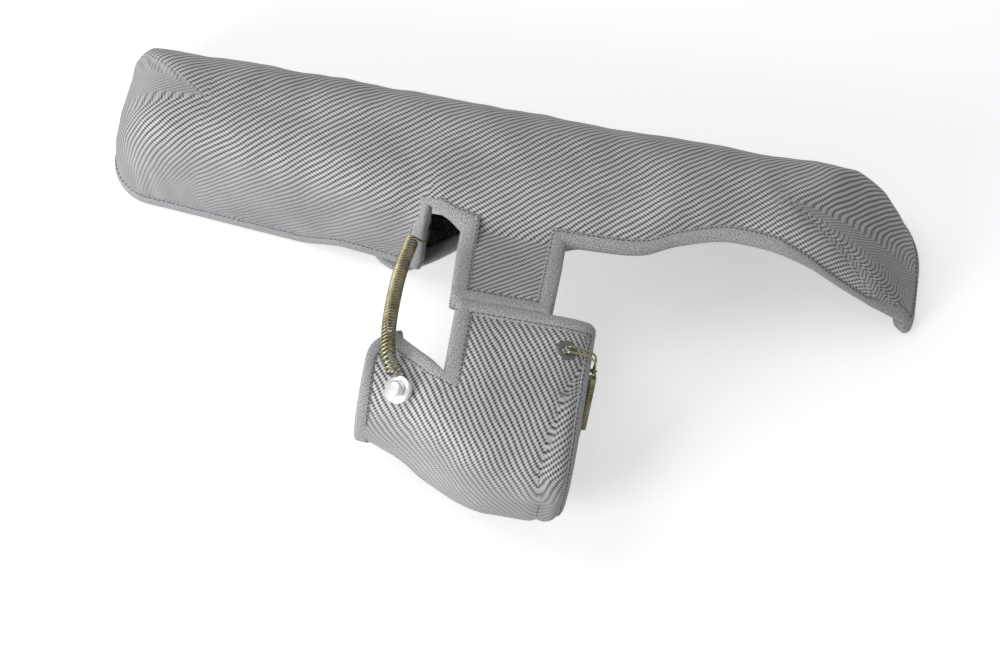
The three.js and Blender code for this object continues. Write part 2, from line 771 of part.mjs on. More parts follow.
// Neck flap: a flat quilted flap behind the notch, sewn under the raised rim of the near wall
const flapTop = raised - tapeReach - fitGap - tapeReach;
const flapEdge = [[flapLeft, -24], [-82, -36], [-74, -43], [-64, -46], [-50, -39], [-38, -30], [flapRight, -24]];
const flapPoints = flapEdge.map(([x, y]) => {
  const end = new THREE.Vector3(x, y, flapTop);
  const inner = new THREE.Vector3(x, flapInnerY, flapTop);
  return [end, end.clone().lerp(inner, hemRow / (flapInnerY + 46)), inner];
});
const flapQuilt = new Quilt(flapPoints, { plies: [[0, -flapThickness]] });
addPart("neck_flap", flapQuilt.ply(0, -flapThickness), materials.lining);
addPart("neck_flap_tape", flapQuilt.tape(flapEdge.map((_, i) => [i, 0, 0, 1])), materials.tape);

// Button: base washer on the cloth, the spring's hook, the bright disc and the round head above
const discBottom = fitGap + washerThickness + hookSpace;
const discTop = discBottom + washerThickness;
const backTop = drumQuilt.depthOf(...buttonCell, -quiltThickness) - 2 * fitGap;
const backBottom = backTop - washerThickness;
const tailEnd = backBottom - 2;
const rivetHead = [
  [0, discTop + fitGap], [buttonHeadRadius, discTop + fitGap],
  [buttonHeadRadius, discTop + fitGap + buttonHeadHeight * 0.8],
  [buttonHeadRadius * 0.8, discTop + fitGap + buttonHeadHeight], [0, discTop + fitGap + buttonHeadHeight],
];
const rivetTail = [
  [0, tailEnd], [rivetRadius * 1.3, tailEnd], [rivetRadius * 1.6, backBottom - fitGap],
  [rivetRadius, backBottom - fitGap], [rivetRadius, discTop + fitGap],
];
const washerHole = rivetRadius + fitGap;
addPart("base_washer", turned(ring(washerHole, buttonDiscRadius - 1, washerThickness), buttonSeat, fitGap), materials.steel);
addPart("button_washer", turned(ring(washerHole, buttonDiscRadius, washerThickness), buttonSeat, discBottom), materials.steel);
addPart("button_rivet", turned([...rivetTail, ...rivetHead.slice(1)], buttonSeat), materials.steel);
addPart("back_washer", turned(ring(washerHole, buttonDiscRadius - 1, washerThickness), buttonSeat, backBottom), materials.steel);

// Upper anchor: a headed post on the tape inside the near wall, for the spring's upper hook
const anchorLevel = -(quiltThickness + tapeReach);
const anchorSeat = seatOn([
  barQuilt.inset([notchColumn, 1, -1, 0], anchorLevel, 0),
  barQuilt.inset([notchColumn, 1, -1, 0], anchorLevel, tapeWidth),
  barQuilt.inset([notchColumn, cutRow, -1, 1], anchorLevel, tapeWidth),
  barQuilt.inset([notchColumn, cutRow, -1, 1], anchorLevel, 0),
], 0.55, fitGap);
const anchorStem = 4;
const anchorHead = 3.2;
const anchorProfile = [
  [0, 0], [anchorHead, 0], [anchorHead, washerThickness], [anchorRadius, washerThickness],
  [anchorRadius, washerThickness + anchorStem], [anchorHead, washerThickness + anchorStem],
  [anchorHead, 2 * washerThickness + anchorStem], [0, 2 * washerThickness + anchorStem],
];
addPart("upper_anchor", turned(anchorProfile, anchorSeat), materials.steel);

// Closing spring: its coil follows the bow of the shell, with a hook at each end
const coilStart = new THREE.Vector3(-57.6, -53.5, 61);
const springRise = buttonSeat.place.z - coilStart.z;
const route = [[-60, -77, 0.4], [-60.5, -100, 0.76], [-59.5, -123, 1.09], [-56.5, -141, 1.25]].map(
  ([x, y, share]) => new THREE.Vector3(x, y, coilStart.z + share * springRise),
);
const hookCentre = rivetRadius + fitGap + wireRadius;
const atButton = seatFrame(buttonSeat, route[route.length - 1]);
const coilMiddleRadius = coilRadius - wireRadius;
const coilEnd = atButton(buttonDiscRadius + 1.2, 0, coilRadius + 1);
const springCurve = new THREE.CatmullRomCurve3([coilStart, ...route, coilEnd]);
const windings = coil(springCurve, coilMiddleRadius, coilPitch, coilSteps);
const hookHeight = fitGap + washerThickness + hookSpace / 2;
const buttonHook = [[5.2, 0.4], ...[40, 80, 120, 160, 200, 240].map((degrees) => {
  const angle = THREE.MathUtils.degToRad(degrees);
  return [hookRadius * Math.cos(angle), hookRadius * Math.sin(angle)];
})].map(([f, side]) => atButton(f, side, hookHeight));
const anchorFrame = seatFrame(anchorSeat, anchorSeat.place.clone().add(up));
const anchorHookRadius = anchorRadius + fitGap + wireRadius + 0.2;
const hookLevel = washerThickness + anchorStem / 2;
const anchorMiddle = anchorFrame(0, 0, hookLevel);
const sideways = anchorFrame(0, 1, hookLevel).sub(anchorMiddle);
const outwards = Math.sign(sideways.x);
const anchorHook = [-120, -60, 0, 60, 120].map((degrees) => {
  const angle = THREE.MathUtils.degToRad(degrees);
  return anchorFrame(
    -anchorHookRadius * Math.sin(angle), -outwards * anchorHookRadius * Math.cos(angle), hookLevel,
  );
});
const wireX = -notchLeft + tapeReach + 4 * wireRadius;
const inPlane = (f) => anchorFrame(f, (wireX - anchorMiddle.x) / sideways.x, hookLevel);
const throughNotch = [
  inPlane(1.2), new THREE.Vector3(wireX, -34, 50), new THREE.Vector3(wireX, -44, 56),
  new THREE.Vector3(wireX, -52, 60),
];
addPart(
  "closing_spring",
  wire([...anchorHook, ...throughNotch, ...windings, ...buttonHook], wireRadius),
  materials.spring,
);

// Eyelet near the shell's right corner: a tube through the quilt with a flange on each side
const eyeletBack = drumQuilt.depthOf(...eyeletCell, -quiltThickness) - fitGap;
const eyeletBore = eyeletRadius - eyeletWall;
const eyeletFront = fitGap + washerThickness;
const eyeletProfile = [
  [eyeletBore, eyeletFront], [eyeletFlange, eyeletFront], [eyeletFlange, fitGap], [eyeletRadius, fitGap],
  [eyeletRadius, eyeletBack], [eyeletClinch, eyeletBack], [eyeletClinch, eyeletBack - washerThickness],
  [eyeletBore, eyeletBack - washerThickness], [eyeletBore, eyeletFront],
];
addPart("side_eyelet", turned(eyeletProfile, eyeletSeat), materials.steel);

// Bail: a double wire out of the eyelet, over the shoulder and down outside the right end
const atEyelet = seatFrame(eyeletSeat, eyeletSeat.place.clone().setX(drumRight));
const bailRoute = [
  [0, eyeletBack - 3], [0, -4], [0.6, 2], [4, 3.2], [12, 2.6], [16.6, -1.5], [18.5, -8], [18.8, -16],
];
const bailSide = (side) => [
  atEyelet(0, side * 5, eyeletBack - 3.4),
  ...bailRoute.map(([f, n]) => atEyelet(f, side * bailHalfWidth, n)),
];
const bailPoints = [...bailSide(-1), ...bailSide(1).reverse()];
addPart("side_bail", wire(bailPoints, wireRadius), materials.spring);

// Side spring: its upper loop hangs on the bail, its lower hook holds the right end's rear rim
const [lastF, lastN] = bailRoute[bailRoute.length - 1];
const bailBar = atEyelet(lastF, 0, lastN);
const rearRim = drumPoint(drumRight, drumAngle(drumRight, sideHookY, true));
const rimTop = rearRim.z + rimTapeRise + fitGap + wireRadius;
const rimInside = drumRight - quiltThickness - tapeReach - 4 * fitGap - wireRadius;
const loopRadius = 2 * wireRadius + fitGap + 0.3;
const upperLoop = [250, 190, 130, 70, 10, -50].map((degrees) => {
  const angle = THREE.MathUtils.degToRad(degrees);
  return bailBar.clone().add(new THREE.Vector3(loopRadius * Math.cos(angle), 0, loopRadius * Math.sin(angle)));
});
const sideTop = bailBar.clone().add(new THREE.Vector3(0, -1.5, -5.5));
const sideBottom = new THREE.Vector3(bailBar.x, sideHookY, rimTop + 16);
const sideCurve = new THREE.LineCurve3(sideTop, sideBottom);
const lowerHook = [
  new THREE.Vector3(bailBar.x, sideHookY, rimTop + 13), new THREE.Vector3(bailBar.x, sideHookY, rimTop + 1.5),
  new THREE.Vector3(bailBar.x - 1.5, sideHookY, rimTop), new THREE.Vector3(rimInside + 1.5, sideHookY, rimTop),
  new THREE.Vector3(rimInside, sideHookY, rimTop - 1.5), new THREE.Vector3(rimInside, sideHookY, rimTop - 6),
];
const sideWindings = coil(sideCurve, sideCoilRadius, coilPitch, coilSteps);
addPart("side_spring", wire([...upperLoop, ...sideWindings, ...lowerHook], wireRadius), materials.spring);

const box = new THREE.Box3().setFromObject(group);
const middle = box.getCenter(new THREE.Vector3());
group.position.set(-middle.x, -middle.y, -box.min.z);

export default group;
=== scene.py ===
import math

import bmesh
import bpy
import numpy as np
from mathutils import Matrix, Vector, noise


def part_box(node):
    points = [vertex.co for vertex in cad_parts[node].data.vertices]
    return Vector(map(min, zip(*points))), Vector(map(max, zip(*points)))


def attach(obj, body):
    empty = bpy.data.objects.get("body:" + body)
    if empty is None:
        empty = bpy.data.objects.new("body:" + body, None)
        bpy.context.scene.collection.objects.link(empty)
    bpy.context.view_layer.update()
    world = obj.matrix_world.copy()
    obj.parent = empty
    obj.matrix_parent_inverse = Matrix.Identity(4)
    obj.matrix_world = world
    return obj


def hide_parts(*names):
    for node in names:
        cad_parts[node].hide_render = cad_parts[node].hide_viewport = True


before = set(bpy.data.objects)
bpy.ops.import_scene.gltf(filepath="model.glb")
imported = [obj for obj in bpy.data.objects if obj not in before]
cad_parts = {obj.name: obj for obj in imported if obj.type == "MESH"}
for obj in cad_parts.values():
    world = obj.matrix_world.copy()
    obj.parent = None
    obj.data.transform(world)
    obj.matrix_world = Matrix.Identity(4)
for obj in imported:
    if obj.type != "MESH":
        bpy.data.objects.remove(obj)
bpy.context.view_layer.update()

# The view: the blanket lies on its open back on a pale table, seen from above its round shell and
# turned a little in the picture. Places are in metres, and MM turns millimetres into them.
MM = 0.001
view_elevation = math.radians(66)
view_roll = math.radians(10)
view_distance = 1500 * MM
view_width = 580 * MM
view_aim = Vector((1.3, -19.2, 40)) * MM
view_forward = Vector((0, math.cos(view_elevation), -math.sin(view_elevation)))
view_upward = Vector((0, math.sin(view_elevation), math.cos(view_elevation)))
across = math.cos(view_roll) * Vector((1, 0, 0)) + math.sin(view_roll) * view_upward
upright = math.cos(view_roll) * view_upward - math.sin(view_roll) * Vector((1, 0, 0))
camera_data = bpy.data.cameras.new("view")
camera_data.sensor_width = 36
camera_data.lens = 36 * view_distance / view_width
camera_data.clip_end = 20
camera = bpy.data.objects.new("view", camera_data)
bpy.context.collection.objects.link(camera)
turned = Matrix((across, upright, -view_forward)).transposed().to_4x4()
camera.matrix_world = Matrix.Translation(view_aim - view_forward * view_distance) @ turned
bpy.context.scene.camera = camera
bpy.context.scene.view_settings.view_transform = "Standard"


# Table top: matt white laminate. It shows white to the camera and keeps the soft shadow.
def srgb(hex_text):
    parts = [int(hex_text[k:k + 2], 16) / 255 for k in (1, 3, 5)]
    return [c / 12.92 if c <= 0.04045 else ((c + 0.055) / 1.055) ** 2.4 for c in parts] + [1.0]


def add(tree, kind, inputs=(), **settings):
    made = tree.nodes.new(kind)
    for name, value in settings.items():
        setattr(made, name, value)
    for key, value in dict(inputs).items():
        if isinstance(value, bpy.types.NodeSocket):
            tree.links.new(value, made.inputs[key])
        else:
            made.inputs[key].default_value = value
    return made


def new_material(name):
    material = bpy.data.materials.new(name)
    material.use_nodes = True
    material.node_tree.nodes.clear()
    return material, material.node_tree


table_size = 12.0
table_white = "#dedede"
table_lift = 0.5
table_material, tree = new_material("white_laminate")
matt = add(tree, "ShaderNodeBsdfDiffuse", {"Color": srgb(table_white)})
rays = add(tree, "ShaderNodeLightPath")
lift = add(tree, "ShaderNodeMath", {0: rays.outputs["Is Camera Ray"], 1: table_lift},
           operation="MULTIPLY")
glow = add(tree, "ShaderNodeEmission", {"Color": srgb("#ffffff"), "Strength": lift.outputs[0]})
both = add(tree, "ShaderNodeAddShader", {0: matt.outputs[0], 1: glow.outputs[0]})
add(tree, "ShaderNodeOutputMaterial", {"Surface": both.outputs[0]})


def mesh_piece(name, points, faces, material, smooth=True):
    mesh = bpy.data.meshes.new(name)
    mesh.from_pydata([tuple(p) for p in points], [], faces)
    mesh.materials.append(material)
    if smooth:
        mesh.polygons.foreach_set("use_smooth", [True] * len(mesh.polygons))
    mesh.update()
    piece = bpy.data.objects.new(name, mesh)
    bpy.context.collection.objects.link(piece)
    return piece


half = table_size / 2
table_top = -0.5 * MM
table_corners = [(x * half, y * half, table_top) for x, y in ((-1, -1), (1, -1), (1, 1), (-1, 1))]
mesh_piece("table", table_corners, [(0, 1, 2, 3)], table_material, smooth=False)


# Studio light: a wide soft box from the upper left, a smaller one low in front, and a pale room.
def soft_box(name, place, size, power):
    data = bpy.data.lights.new(name, "AREA")
    data.size = size
    data.energy = power
    lamp = bpy.data.objects.new(name, data)
    bpy.context.collection.objects.link(lamp)
    place = Vector(place)
    lamp.matrix_world = Matrix.Translation(place) @ place.to_track_quat("Z", "Y").to_matrix().to_4x4()


soft_box("soft_box_left", (-1.0, 0.3, 1.4), size=0.9, power=8)
soft_box("soft_box_front", (-0.75, -0.8, 0.5), size=0.5, power=9)
room_light = 0.42
room = bpy.data.worlds.new("room")
bpy.context.scene.world = room
room.use_nodes = True
room.node_tree.nodes.clear()
rays = add(room.node_tree, "ShaderNodeLightPath")
seen = add(room.node_tree, "ShaderNodeMath",
           {0: rays.outputs["Is Camera Ray"], 1: 1 - room_light, 2: room_light}, operation="MULTIPLY_ADD")
pale = add(room.node_tree, "ShaderNodeBackground", {"Color": srgb("#ffffff"), "Strength": seen.outputs[0]})
add(room.node_tree, "ShaderNodeOutputWorld", {"Surface": pale.outputs[0]})


# Outer skin cloth: a heavy 2/2 twill of spun basalt yarn, silver grey, with a rib every 3 mm and a
# float every 1.7 mm along it. Woven from glossy round yarns, so each float is a small bright
# dash between dark gaps, under a matt whole. The colour paints that dash as a highlight on each
# float's crown and the gaps as shade.
yarn_spacing = 1.7
rib_spacing = 3.07
gap_shade = "#2c2c2e"
yarn_grey = "#7f7f82"
yarn_highlight = "#d0d0d2"
flat_level = 0.24


def lattice(rib_angle, float_angle):
    rib = np.array([math.cos(rib_angle), math.sin(rib_angle)]) * yarn_spacing
    pick = np.array([math.cos(float_angle), math.sin(float_angle)]) * rib_spacing
    return np.linalg.inv(np.array([rib, pick]).T)


gap_sharpness = (1.6, 2.2)
dot_share, valley_share = 0.62, 0.2
fibre_glint_mottle = 0.4


def woven_cloth(name, rib_degrees, float_degrees, waviness):
    material, tree = new_material(name)
    chart = add(tree, "ShaderNodeUVMap", uv_map="cloth")
    sway = add(tree, "ShaderNodeTexNoise", {"Vector": chart.outputs[0], "Scale": 0.045, "Detail": 1.0})
    centred = add(tree, "ShaderNodeVectorMath", {0: sway.outputs["Color"], 1: (0.5, 0.5, 0.5)},
                  operation="SUBTRACT")
    shifted = add(tree, "ShaderNodeVectorMath", {0: centred.outputs[0], "Scale": waviness}, operation="SCALE")
    swayed = add(tree, "ShaderNodeVectorMath", {0: chart.outputs[0], 1: shifted.outputs[0]}, operation="ADD")
    gaps = []
    for row, sharpness in zip(lattice(math.radians(rib_degrees), math.radians(float_degrees)), gap_sharpness):
        turns = tuple(2 * math.pi * row) + (0.0,)
        phase = add(tree, "ShaderNodeVectorMath", {0: swayed.outputs[0], 1: turns}, operation="DOT_PRODUCT")
        wave = add(tree, "ShaderNodeMath", {0: phase.outputs["Value"]}, operation="COSINE")
        sunk = add(tree, "ShaderNodeMath", {0: wave.outputs[0], 1: -0.5, 2: 0.5}, operation="MULTIPLY_ADD")
        gap = add(tree, "ShaderNodeMath", {0: sunk.outputs[0], 1: sharpness}, operation="POWER")
        gaps.append(gap.outputs[0])
    dots = add(tree, "ShaderNodeMath", {0: gaps[0], 1: dot_share, 2: 1 - dot_share}, operation="MULTIPLY_ADD")
    valleys = add(tree, "ShaderNodeMath", {0: dots.outputs[0], 1: gaps[1]}, operation="MULTIPLY")
    sunken = add(tree, "ShaderNodeMath", {0: gaps[0], 1: valley_share, 2: valleys.outputs[0]},
                 operation="MULTIPLY_ADD")
    # Where weave_depth is low the weave flattens to an even light grey: askew cloth, and painted sheen on
    # faces turned from up.
    askew_and_sheen = add(tree, "ShaderNodeAttribute", attribute_name="weave_depth")
    shallow = add(tree, "ShaderNodeMath", {0: sunken.outputs[0], 1: flat_level}, operation="SUBTRACT")
    deepened = add(tree, "ShaderNodeMath", {0: shallow.outputs[0], 1: askew_and_sheen.outputs["Fac"], 2: flat_level},
                   operation="MULTIPLY_ADD")
    floats = add(tree, "ShaderNodeMath", {0: 1.0, 1: deepened.outputs[0]}, operation="SUBTRACT")
    wear = add(tree, "ShaderNodeTexNoise", {"Vector": chart.outputs[0], "Scale": 0.02, "Detail": 3.0})
    # Fine fibre noise lifts the colour in flecks: partly fibre texture, partly painted silvery glints.
    fibres = add(tree, "ShaderNodeTexNoise", {"Vector": chart.outputs[0], "Scale": 1.6, "Detail": 2.0})
    speckle = add(tree, "ShaderNodeMath", {0: fibres.outputs["Fac"], 1: fibre_glint_mottle, 2: floats.outputs[0]},
                  operation="MULTIPLY_ADD")
    lowered = add(tree, "ShaderNodeMath", {0: speckle.outputs[0], 1: fibre_glint_mottle / 2}, operation="SUBTRACT")
    # The ramp runs from painted shade in the gaps, through the yarn's grey, to a painted highlight on the
    # crowns.
    ramp = add(tree, "ShaderNodeValToRGB", {"Fac": lowered.outputs[0]})
    for stop, place, colour in zip(ramp.color_ramp.elements, (0.0, 1.0), (gap_shade, yarn_highlight)):
        stop.position, stop.color = place, srgb(colour)
    ramp.color_ramp.elements.new(0.62).color = srgb(yarn_grey)
    tone = add(tree, "ShaderNodeMapRange", {"Value": wear.outputs["Fac"], "From Min": 0.3, "From Max": 0.7,
                                            "To Min": 0.84, "To Max": 1.12})
    toned = add(tree, "ShaderNodeVectorMath", {0: ramp.outputs["Color"], "Scale": tone.outputs[0]},
                operation="SCALE")
    bump = add(tree, "ShaderNodeBump", {"Height": speckle.outputs[0], "Strength": 0.9, "Distance": 0.5 * MM})
    cloth = add(tree, "ShaderNodeBsdfPrincipled", {"Base Color": toned.outputs[0], "Roughness": 0.55,
                                                   "Sheen Weight": 0.15, "Normal": bump.outputs[0]})
    add(tree, "ShaderNodeOutputMaterial", {"Surface": cloth.outputs[0]})
    return material


basalt_twill = woven_cloth("basalt_twill", rib_degrees=40.5, float_degrees=-37, waviness=2.5)


# Lining cloth: plain-woven black glass cloth, heat stained. It is matt, and its fine square weave
# and brown-grey stains are all that the eye gets of it.
lining_dark = "#38383a"
lining_pale = "#6b6a68"
lining_thread = 1.1
lining_cloth, tree = new_material("black_glass_cloth")
chart = add(tree, "ShaderNodeUVMap", uv_map="cloth")
threads = []
for direction in ((1, 0, 0), (0, 1, 0)):
    turns = tuple(2 * math.pi / lining_thread * c for c in direction)
    phase = add(tree, "ShaderNodeVectorMath", {0: chart.outputs[0], 1: turns}, operation="DOT_PRODUCT")
    threads.append(add(tree, "ShaderNodeMath", {0: phase.outputs["Value"]}, operation="SINE").outputs[0])
crossing = add(tree, "ShaderNodeMath", {0: threads[0], 1: threads[1]}, operation="MULTIPLY")
stain = add(tree, "ShaderNodeTexNoise", {"Vector": chart.outputs[0], "Scale": 0.03, "Detail": 4.0})
level = add(tree, "ShaderNodeMath", {0: crossing.outputs[0], 1: 0.12, 2: stain.outputs["Fac"]},
            operation="MULTIPLY_ADD")
ramp = add(tree, "ShaderNodeValToRGB", {"Fac": level.outputs[0]})
for stop, place, colour in zip(ramp.color_ramp.elements, (0.3, 0.85), (lining_dark, lining_pale)):
    stop.position, stop.color = place, srgb(colour)
bump = add(tree, "ShaderNodeBump", {"Height": crossing.outputs[0], "Strength": 0.5, "Distance": 0.2 * MM})
cloth = add(tree, "ShaderNodeBsdfPrincipled", {"Base Color": ramp.outputs["Color"], "Roughness": 0.9,
                                               "Normal": bump.outputs[0]})
add(tree, "ShaderNodeOutputMaterial", {"Surface": cloth.outputs[0]})


# Quilted panel: two skins of cloth on a needled mat, cut to a pattern. It is worked out as a fine
# grid of points on its outer face, with some cells left out where the pattern is cut away.
pad_thickness = 9.3
skin_depth = 8.1
ply_gap = 0.1
hem_reach = 11
hem_press, press_reach, press_ease = 1.3, 8.2, 5
inner_push = 0.3
least_leg, sheen_washed_weave = 0.2, 0.35


def length_along(line):
    steps = np.linalg.norm(np.diff(line, axis=0), axis=1)
    return np.concatenate([[0], np.cumsum(steps)])


def at_lengths(line, wanted):
    lengths = length_along(line)
    return np.stack([np.interp(wanted, lengths, line[:, k]) for k in range(3)], axis=1)


def fine_stops(stops, counts):
    pieces = [np.linspace(a, b, n, endpoint=False) for a, b, n in zip(stops, stops[1:], counts)]
    return np.concatenate(pieces + [[stops[-1]]])


def folds(places, size, height, seed):
    return np.array([height * noise.noise(Vector(p) / size + Vector((seed, 2 * seed, 0))) for p in places])


def set_chart(piece, chart):
    """Lay the cloth's pattern over a piece, in millimetres."""
    layer = piece.data.uv_layers.new(name="cloth")
    order = np.zeros(len(piece.data.loops), int)
    piece.data.loops.foreach_get("vertex_index", order)
    layer.data.foreach_set("uv", chart[order].ravel())


class Panel:
    """A quilt as a grid of points on its outer face. Cells left out make notches and cut edges."""

    def __init__(self, points, chart, has_cell, closed):
        self.points, self.chart, self.closed = points, chart, closed
        self.columns, self.rows = points.shape[:2]
        self.has_cell = has_cell
        self.smooth(3)
        self.normals = self.find_normals()
        self.outer = self.press_edges()

    def beside(self, values, step, axis):
        if axis == 0 and self.closed:
            return np.roll(values, -step, axis=0)
        moved = np.roll(values, -step, axis=axis)
        edge = -1 if step > 0 else 0
        if axis == 0:
            moved[edge] = values[edge]
        else:
            moved[:, edge] = values[:, edge]
        return moved

    def evened(self, values):
        around = sum(self.beside(values, s, a) for s, a in ((1, 0), (-1, 0), (1, 1), (-1, 1)))
        return 0.5 * values + 0.125 * around

    def smooth(self, passes):
        cells = self.has_cell
        if self.closed:
            left = np.roll(cells, 1, axis=0)
        else:
            left = np.vstack([np.zeros((1, self.rows - 1), bool), cells[:-1]])
        none = np.zeros((self.columns, 1), bool)
        corners = [np.hstack(pair) for side in (cells, left) for pair in ((side, none), (none, side))]
        self.inside, self.used = np.all(corners, axis=0), np.any(corners, axis=0)
        for _ in range(passes):
            self.points = np.where(self.inside[..., None], self.evened(self.points), self.points)

    def find_normals(self):
        p = self.points
        right, up = self.beside(p, 1, 0), self.beside(p, 1, 1)
        corner = self.beside(right, 1, 1)
        cell = np.cross(corner - p, up - right)
        cell[:, -1] = 0
        full = np.zeros((self.columns, self.rows), bool)
        full[:, :-1] = self.has_cell
        cell = np.where(full[..., None], cell, 0)
        back = np.roll(cell, 1, axis=0)
        if not self.closed:
            back[0] = 0
        total = cell + back
        lower = np.roll(total, 1, axis=1)
        lower[:, 0] = 0
        total = total + lower
        size = np.linalg.norm(total, axis=2, keepdims=True)
        return np.where(size > 1e-9, total / np.maximum(size, 1e-9), np.array([0, 0, 1.0]))

    def press_edges(self):
        edge = self.used & ~self.inside
        if self.closed:
            edge[:, -1] = False
        edge_points = self.points[edge]
        flat = self.points.reshape(-1, 3)
        nearest = np.full(len(flat), 1e9)
        for start in range(0, len(edge_points), 200):
            gaps = np.linalg.norm(flat[:, None] - edge_points[None, start:start + 200], axis=2)
            nearest = np.minimum(nearest, gaps.min(axis=1))
        to_edge = nearest.reshape(self.columns, self.rows)
        share = np.clip((to_edge - press_reach) / press_ease, 0, 1)
        self.free = share * share * (3 - 2 * share)
        level = -hem_press * (1 - self.free)
        return self.points + self.normals * level[..., None]

    def at(self, i, j):
        k = i % self.columns if self.closed else i
        return self.points[k, j], self.normals[k, j]

    def inward(self, i, j, step, distance):
        """A place and its normal some way in from an edge, walking along the grid."""
        walked, place = 0.0, (i, j)
        here, normal = self.at(i, j)
        if distance <= 0:
            ahead = self.at(i + step[0], j + step[1])[0] - here
            return here + ahead / np.linalg.norm(ahead) * distance, normal
        while True:
            nxt = (place[0] + step[0], place[1] + step[1])
            there, there_normal = self.at(*nxt)
            leg = np.linalg.norm(there - here)
            if walked + leg >= distance:
                share = (distance - walked) / leg
                return here + (there - here) * share, normal + (there_normal - normal) * share
            walked, place, here, normal = walked + leg, nxt, there, there_normal

    def skin(self, name, outer_level, inner_level, material, shape):
        """A closed pad between two levels. shape gives how far each grid point is pushed out."""
        push = shape[..., None] * self.normals
        outside = self.outer + self.normals * outer_level + push
        inside = self.points + self.normals * inner_level + inner_push * push
        count = self.columns * self.rows
        index = np.arange(count).reshape(self.columns, self.rows)
        faces = []

        def filled(i, j):
            inside_grid = 0 <= j < self.rows - 1 and (self.closed or 0 <= i < self.columns - 1)
            return inside_grid and self.has_cell[i % self.columns, j]

        for i in range(self.columns if self.closed else self.columns - 1):
            n = (i + 1) % self.columns
            for j in range(self.rows - 1):
                if not self.has_cell[i, j]:
                    continue
                ring = [index[i, j], index[n, j], index[n, j + 1], index[i, j + 1]]
                faces.append(tuple(ring))
                faces.append(tuple(r + count for r in reversed(ring)))
                for k, (a, b) in enumerate(((i, j - 1), (i + 1, j), (i, j + 1), (i - 1, j))):
                    if self.closed and b == self.rows - 1:
                        continue
                    if not filled(a, b):
                        s, e = ring[k], ring[(k + 1) % 4]
                        faces.append((e, s, s + count, e + count))
        points = np.concatenate([outside.reshape(-1, 3), inside.reshape(-1, 3)]) * MM
        piece = mesh_piece(name, points, faces, material)
        charts = np.concatenate([self.chart.reshape(-1, 2)] * 2)
        set_chart(piece, charts)
        depth = piece.data.attributes.new("weave_depth", "FLOAT", "POINT")
        depth.data.foreach_set("value", np.tile(self.weave_depth().ravel(), 2))
        tidy_mesh(piece)
        return piece

    def weave_depth(self):
        """How plainly the weave shows: less where the cloth is pulled askew, and less where the face turns
        away from up, a painted sheen that washes the weave out.
        """
        shown = np.ones((self.columns, self.rows))
        for axis in (0, 1):
            leg = np.linalg.norm(self.beside(self.points, 1, axis) - self.points, axis=2)
            laid = np.linalg.norm(self.beside(self.chart, 1, axis) - self.chart, axis=2)
            ratio = np.where(leg > least_leg, laid / np.maximum(leg, least_leg), 1)
            shown *= np.clip(1.6 - 1.8 * np.abs(ratio - 1), 0, 1)
        for _ in range(4):
            shown = self.evened(shown)
        # Faces turned away from up keep less of the weave: painted sheen.
        facing = np.clip((self.normals[..., 2] - 0.1) / 0.6, 0, 1)
        return shown * (sheen_washed_weave + (1 - sheen_washed_weave) * facing)


def tidy_mesh(piece):
    shell = bmesh.new()
    shell.from_mesh(piece.data)
    bmesh.ops.remove_doubles(shell, verts=shell.verts, dist=2e-6)
    loose = [v for v in shell.verts if not v.link_faces]
    bmesh.ops.delete(shell, geom=loose, context="VERTS")
    bmesh.ops.recalc_face_normals(shell, faces=shell.faces)
    shell.to_mesh(piece.data)
    shell.free()


# Long shell: the bar and the neck panel that hangs from it, one sewn panel of twill over a moulded
# mat, open at the back. It goes on from the front, and the springs hold it.
bar_left, bar_back, bar_height = -246, 54, 78
cover_low, cover_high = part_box("manifold_cover")
neck_x = cover_low.x / MM - bar_left
row_y = cover_high.y / MM - bar_back
place_shift = np.array([neck_x, row_y, 0])
rim_level = 1.3
ridge_y, ridge_left, ridge_right = 8, -190, 150
side_height, wall_squareness = 45, 3
column_step = 3.0
# x, y, height of the cut edge, height of the rim, squareness of the wall
near_wall = [
    (-190, -33, 45, 1.3, 3), (-160, -35.5, 45, 1.3, 3), (-128, -38, 45, 1.3, 3), (-98, -41, 52, 10, 3),
    (-64, -45, 62, 10, 3), (-53, -47, 70, 10, 3.4),
]
neck_wall = [(x, -59, 70, 1.3, 4) for x in (-30, -19, 0, 19, 30)]
cut_away_wall = [
    (52, -58, 70, 1.3, 4), (75, -55, 69, 1.3, 3.7), (96, -47, 70, 1.3, 3.3), (123, -41, 71, 1.3, 3),
    (150, -38, 69, 1.3, 3), (178, -36, 61, 1.3, 2.6), (206, -34, 43, 1.3, 2.1), (229, -32, 25, 1.3, 1.7),
]


def eased(stops, values, wanted):
    """Monotone cubic curve through the values."""
    stops, values, wanted = (np.asarray(v, float) for v in (stops, values, wanted))
    step = np.diff(stops)
    slope = np.diff(values) / step
    lean = np.zeros(len(values))
    lean[0], lean[-1] = slope[0], slope[-1]
    for k in range(1, len(values) - 1):
        if slope[k - 1] * slope[k] > 0:
            a, b = 2 * step[k] + step[k - 1], step[k] + 2 * step[k - 1]
            lean[k] = (a + b) / (a / slope[k - 1] + b / slope[k])
    k = np.clip(np.searchsorted(stops, wanted, side="right") - 1, 0, len(step) - 1)
    t = (wanted - stops[k]) / step[k]
    h = step[k]
    return ((1 + 2 * t) * (1 - t) ** 2 * values[k] + t * (1 - t) ** 2 * h * lean[k]
            + t * t * (3 - 2 * t) * values[k + 1] + t * t * (t - 1) * h * lean[k + 1])


def fine_wall(table):
    """Columns about 3 mm apart along one stretch of the near wall."""
    table = np.array(table, float)
    counts = [max(1, round((b - a) / column_step)) for a, b in zip(table[:, 0], table[1:, 0])]
    xs = fine_stops(table[:, 0], counts)
    return np.stack([xs] + [eased(table[:, 0], table[:, k], xs) for k in range(1, 5)], axis=1)


def arc_columns(centre_x, centre_y, radius, start, end, count, values):
    shares = np.linspace(0, 1, count)
    angles = np.radians(start + (end - start) * shares)
    return np.array([(centre_x + radius * math.cos(a), centre_y + radius * math.sin(a), *values(t))
                     for t, a in zip(shares, angles)])


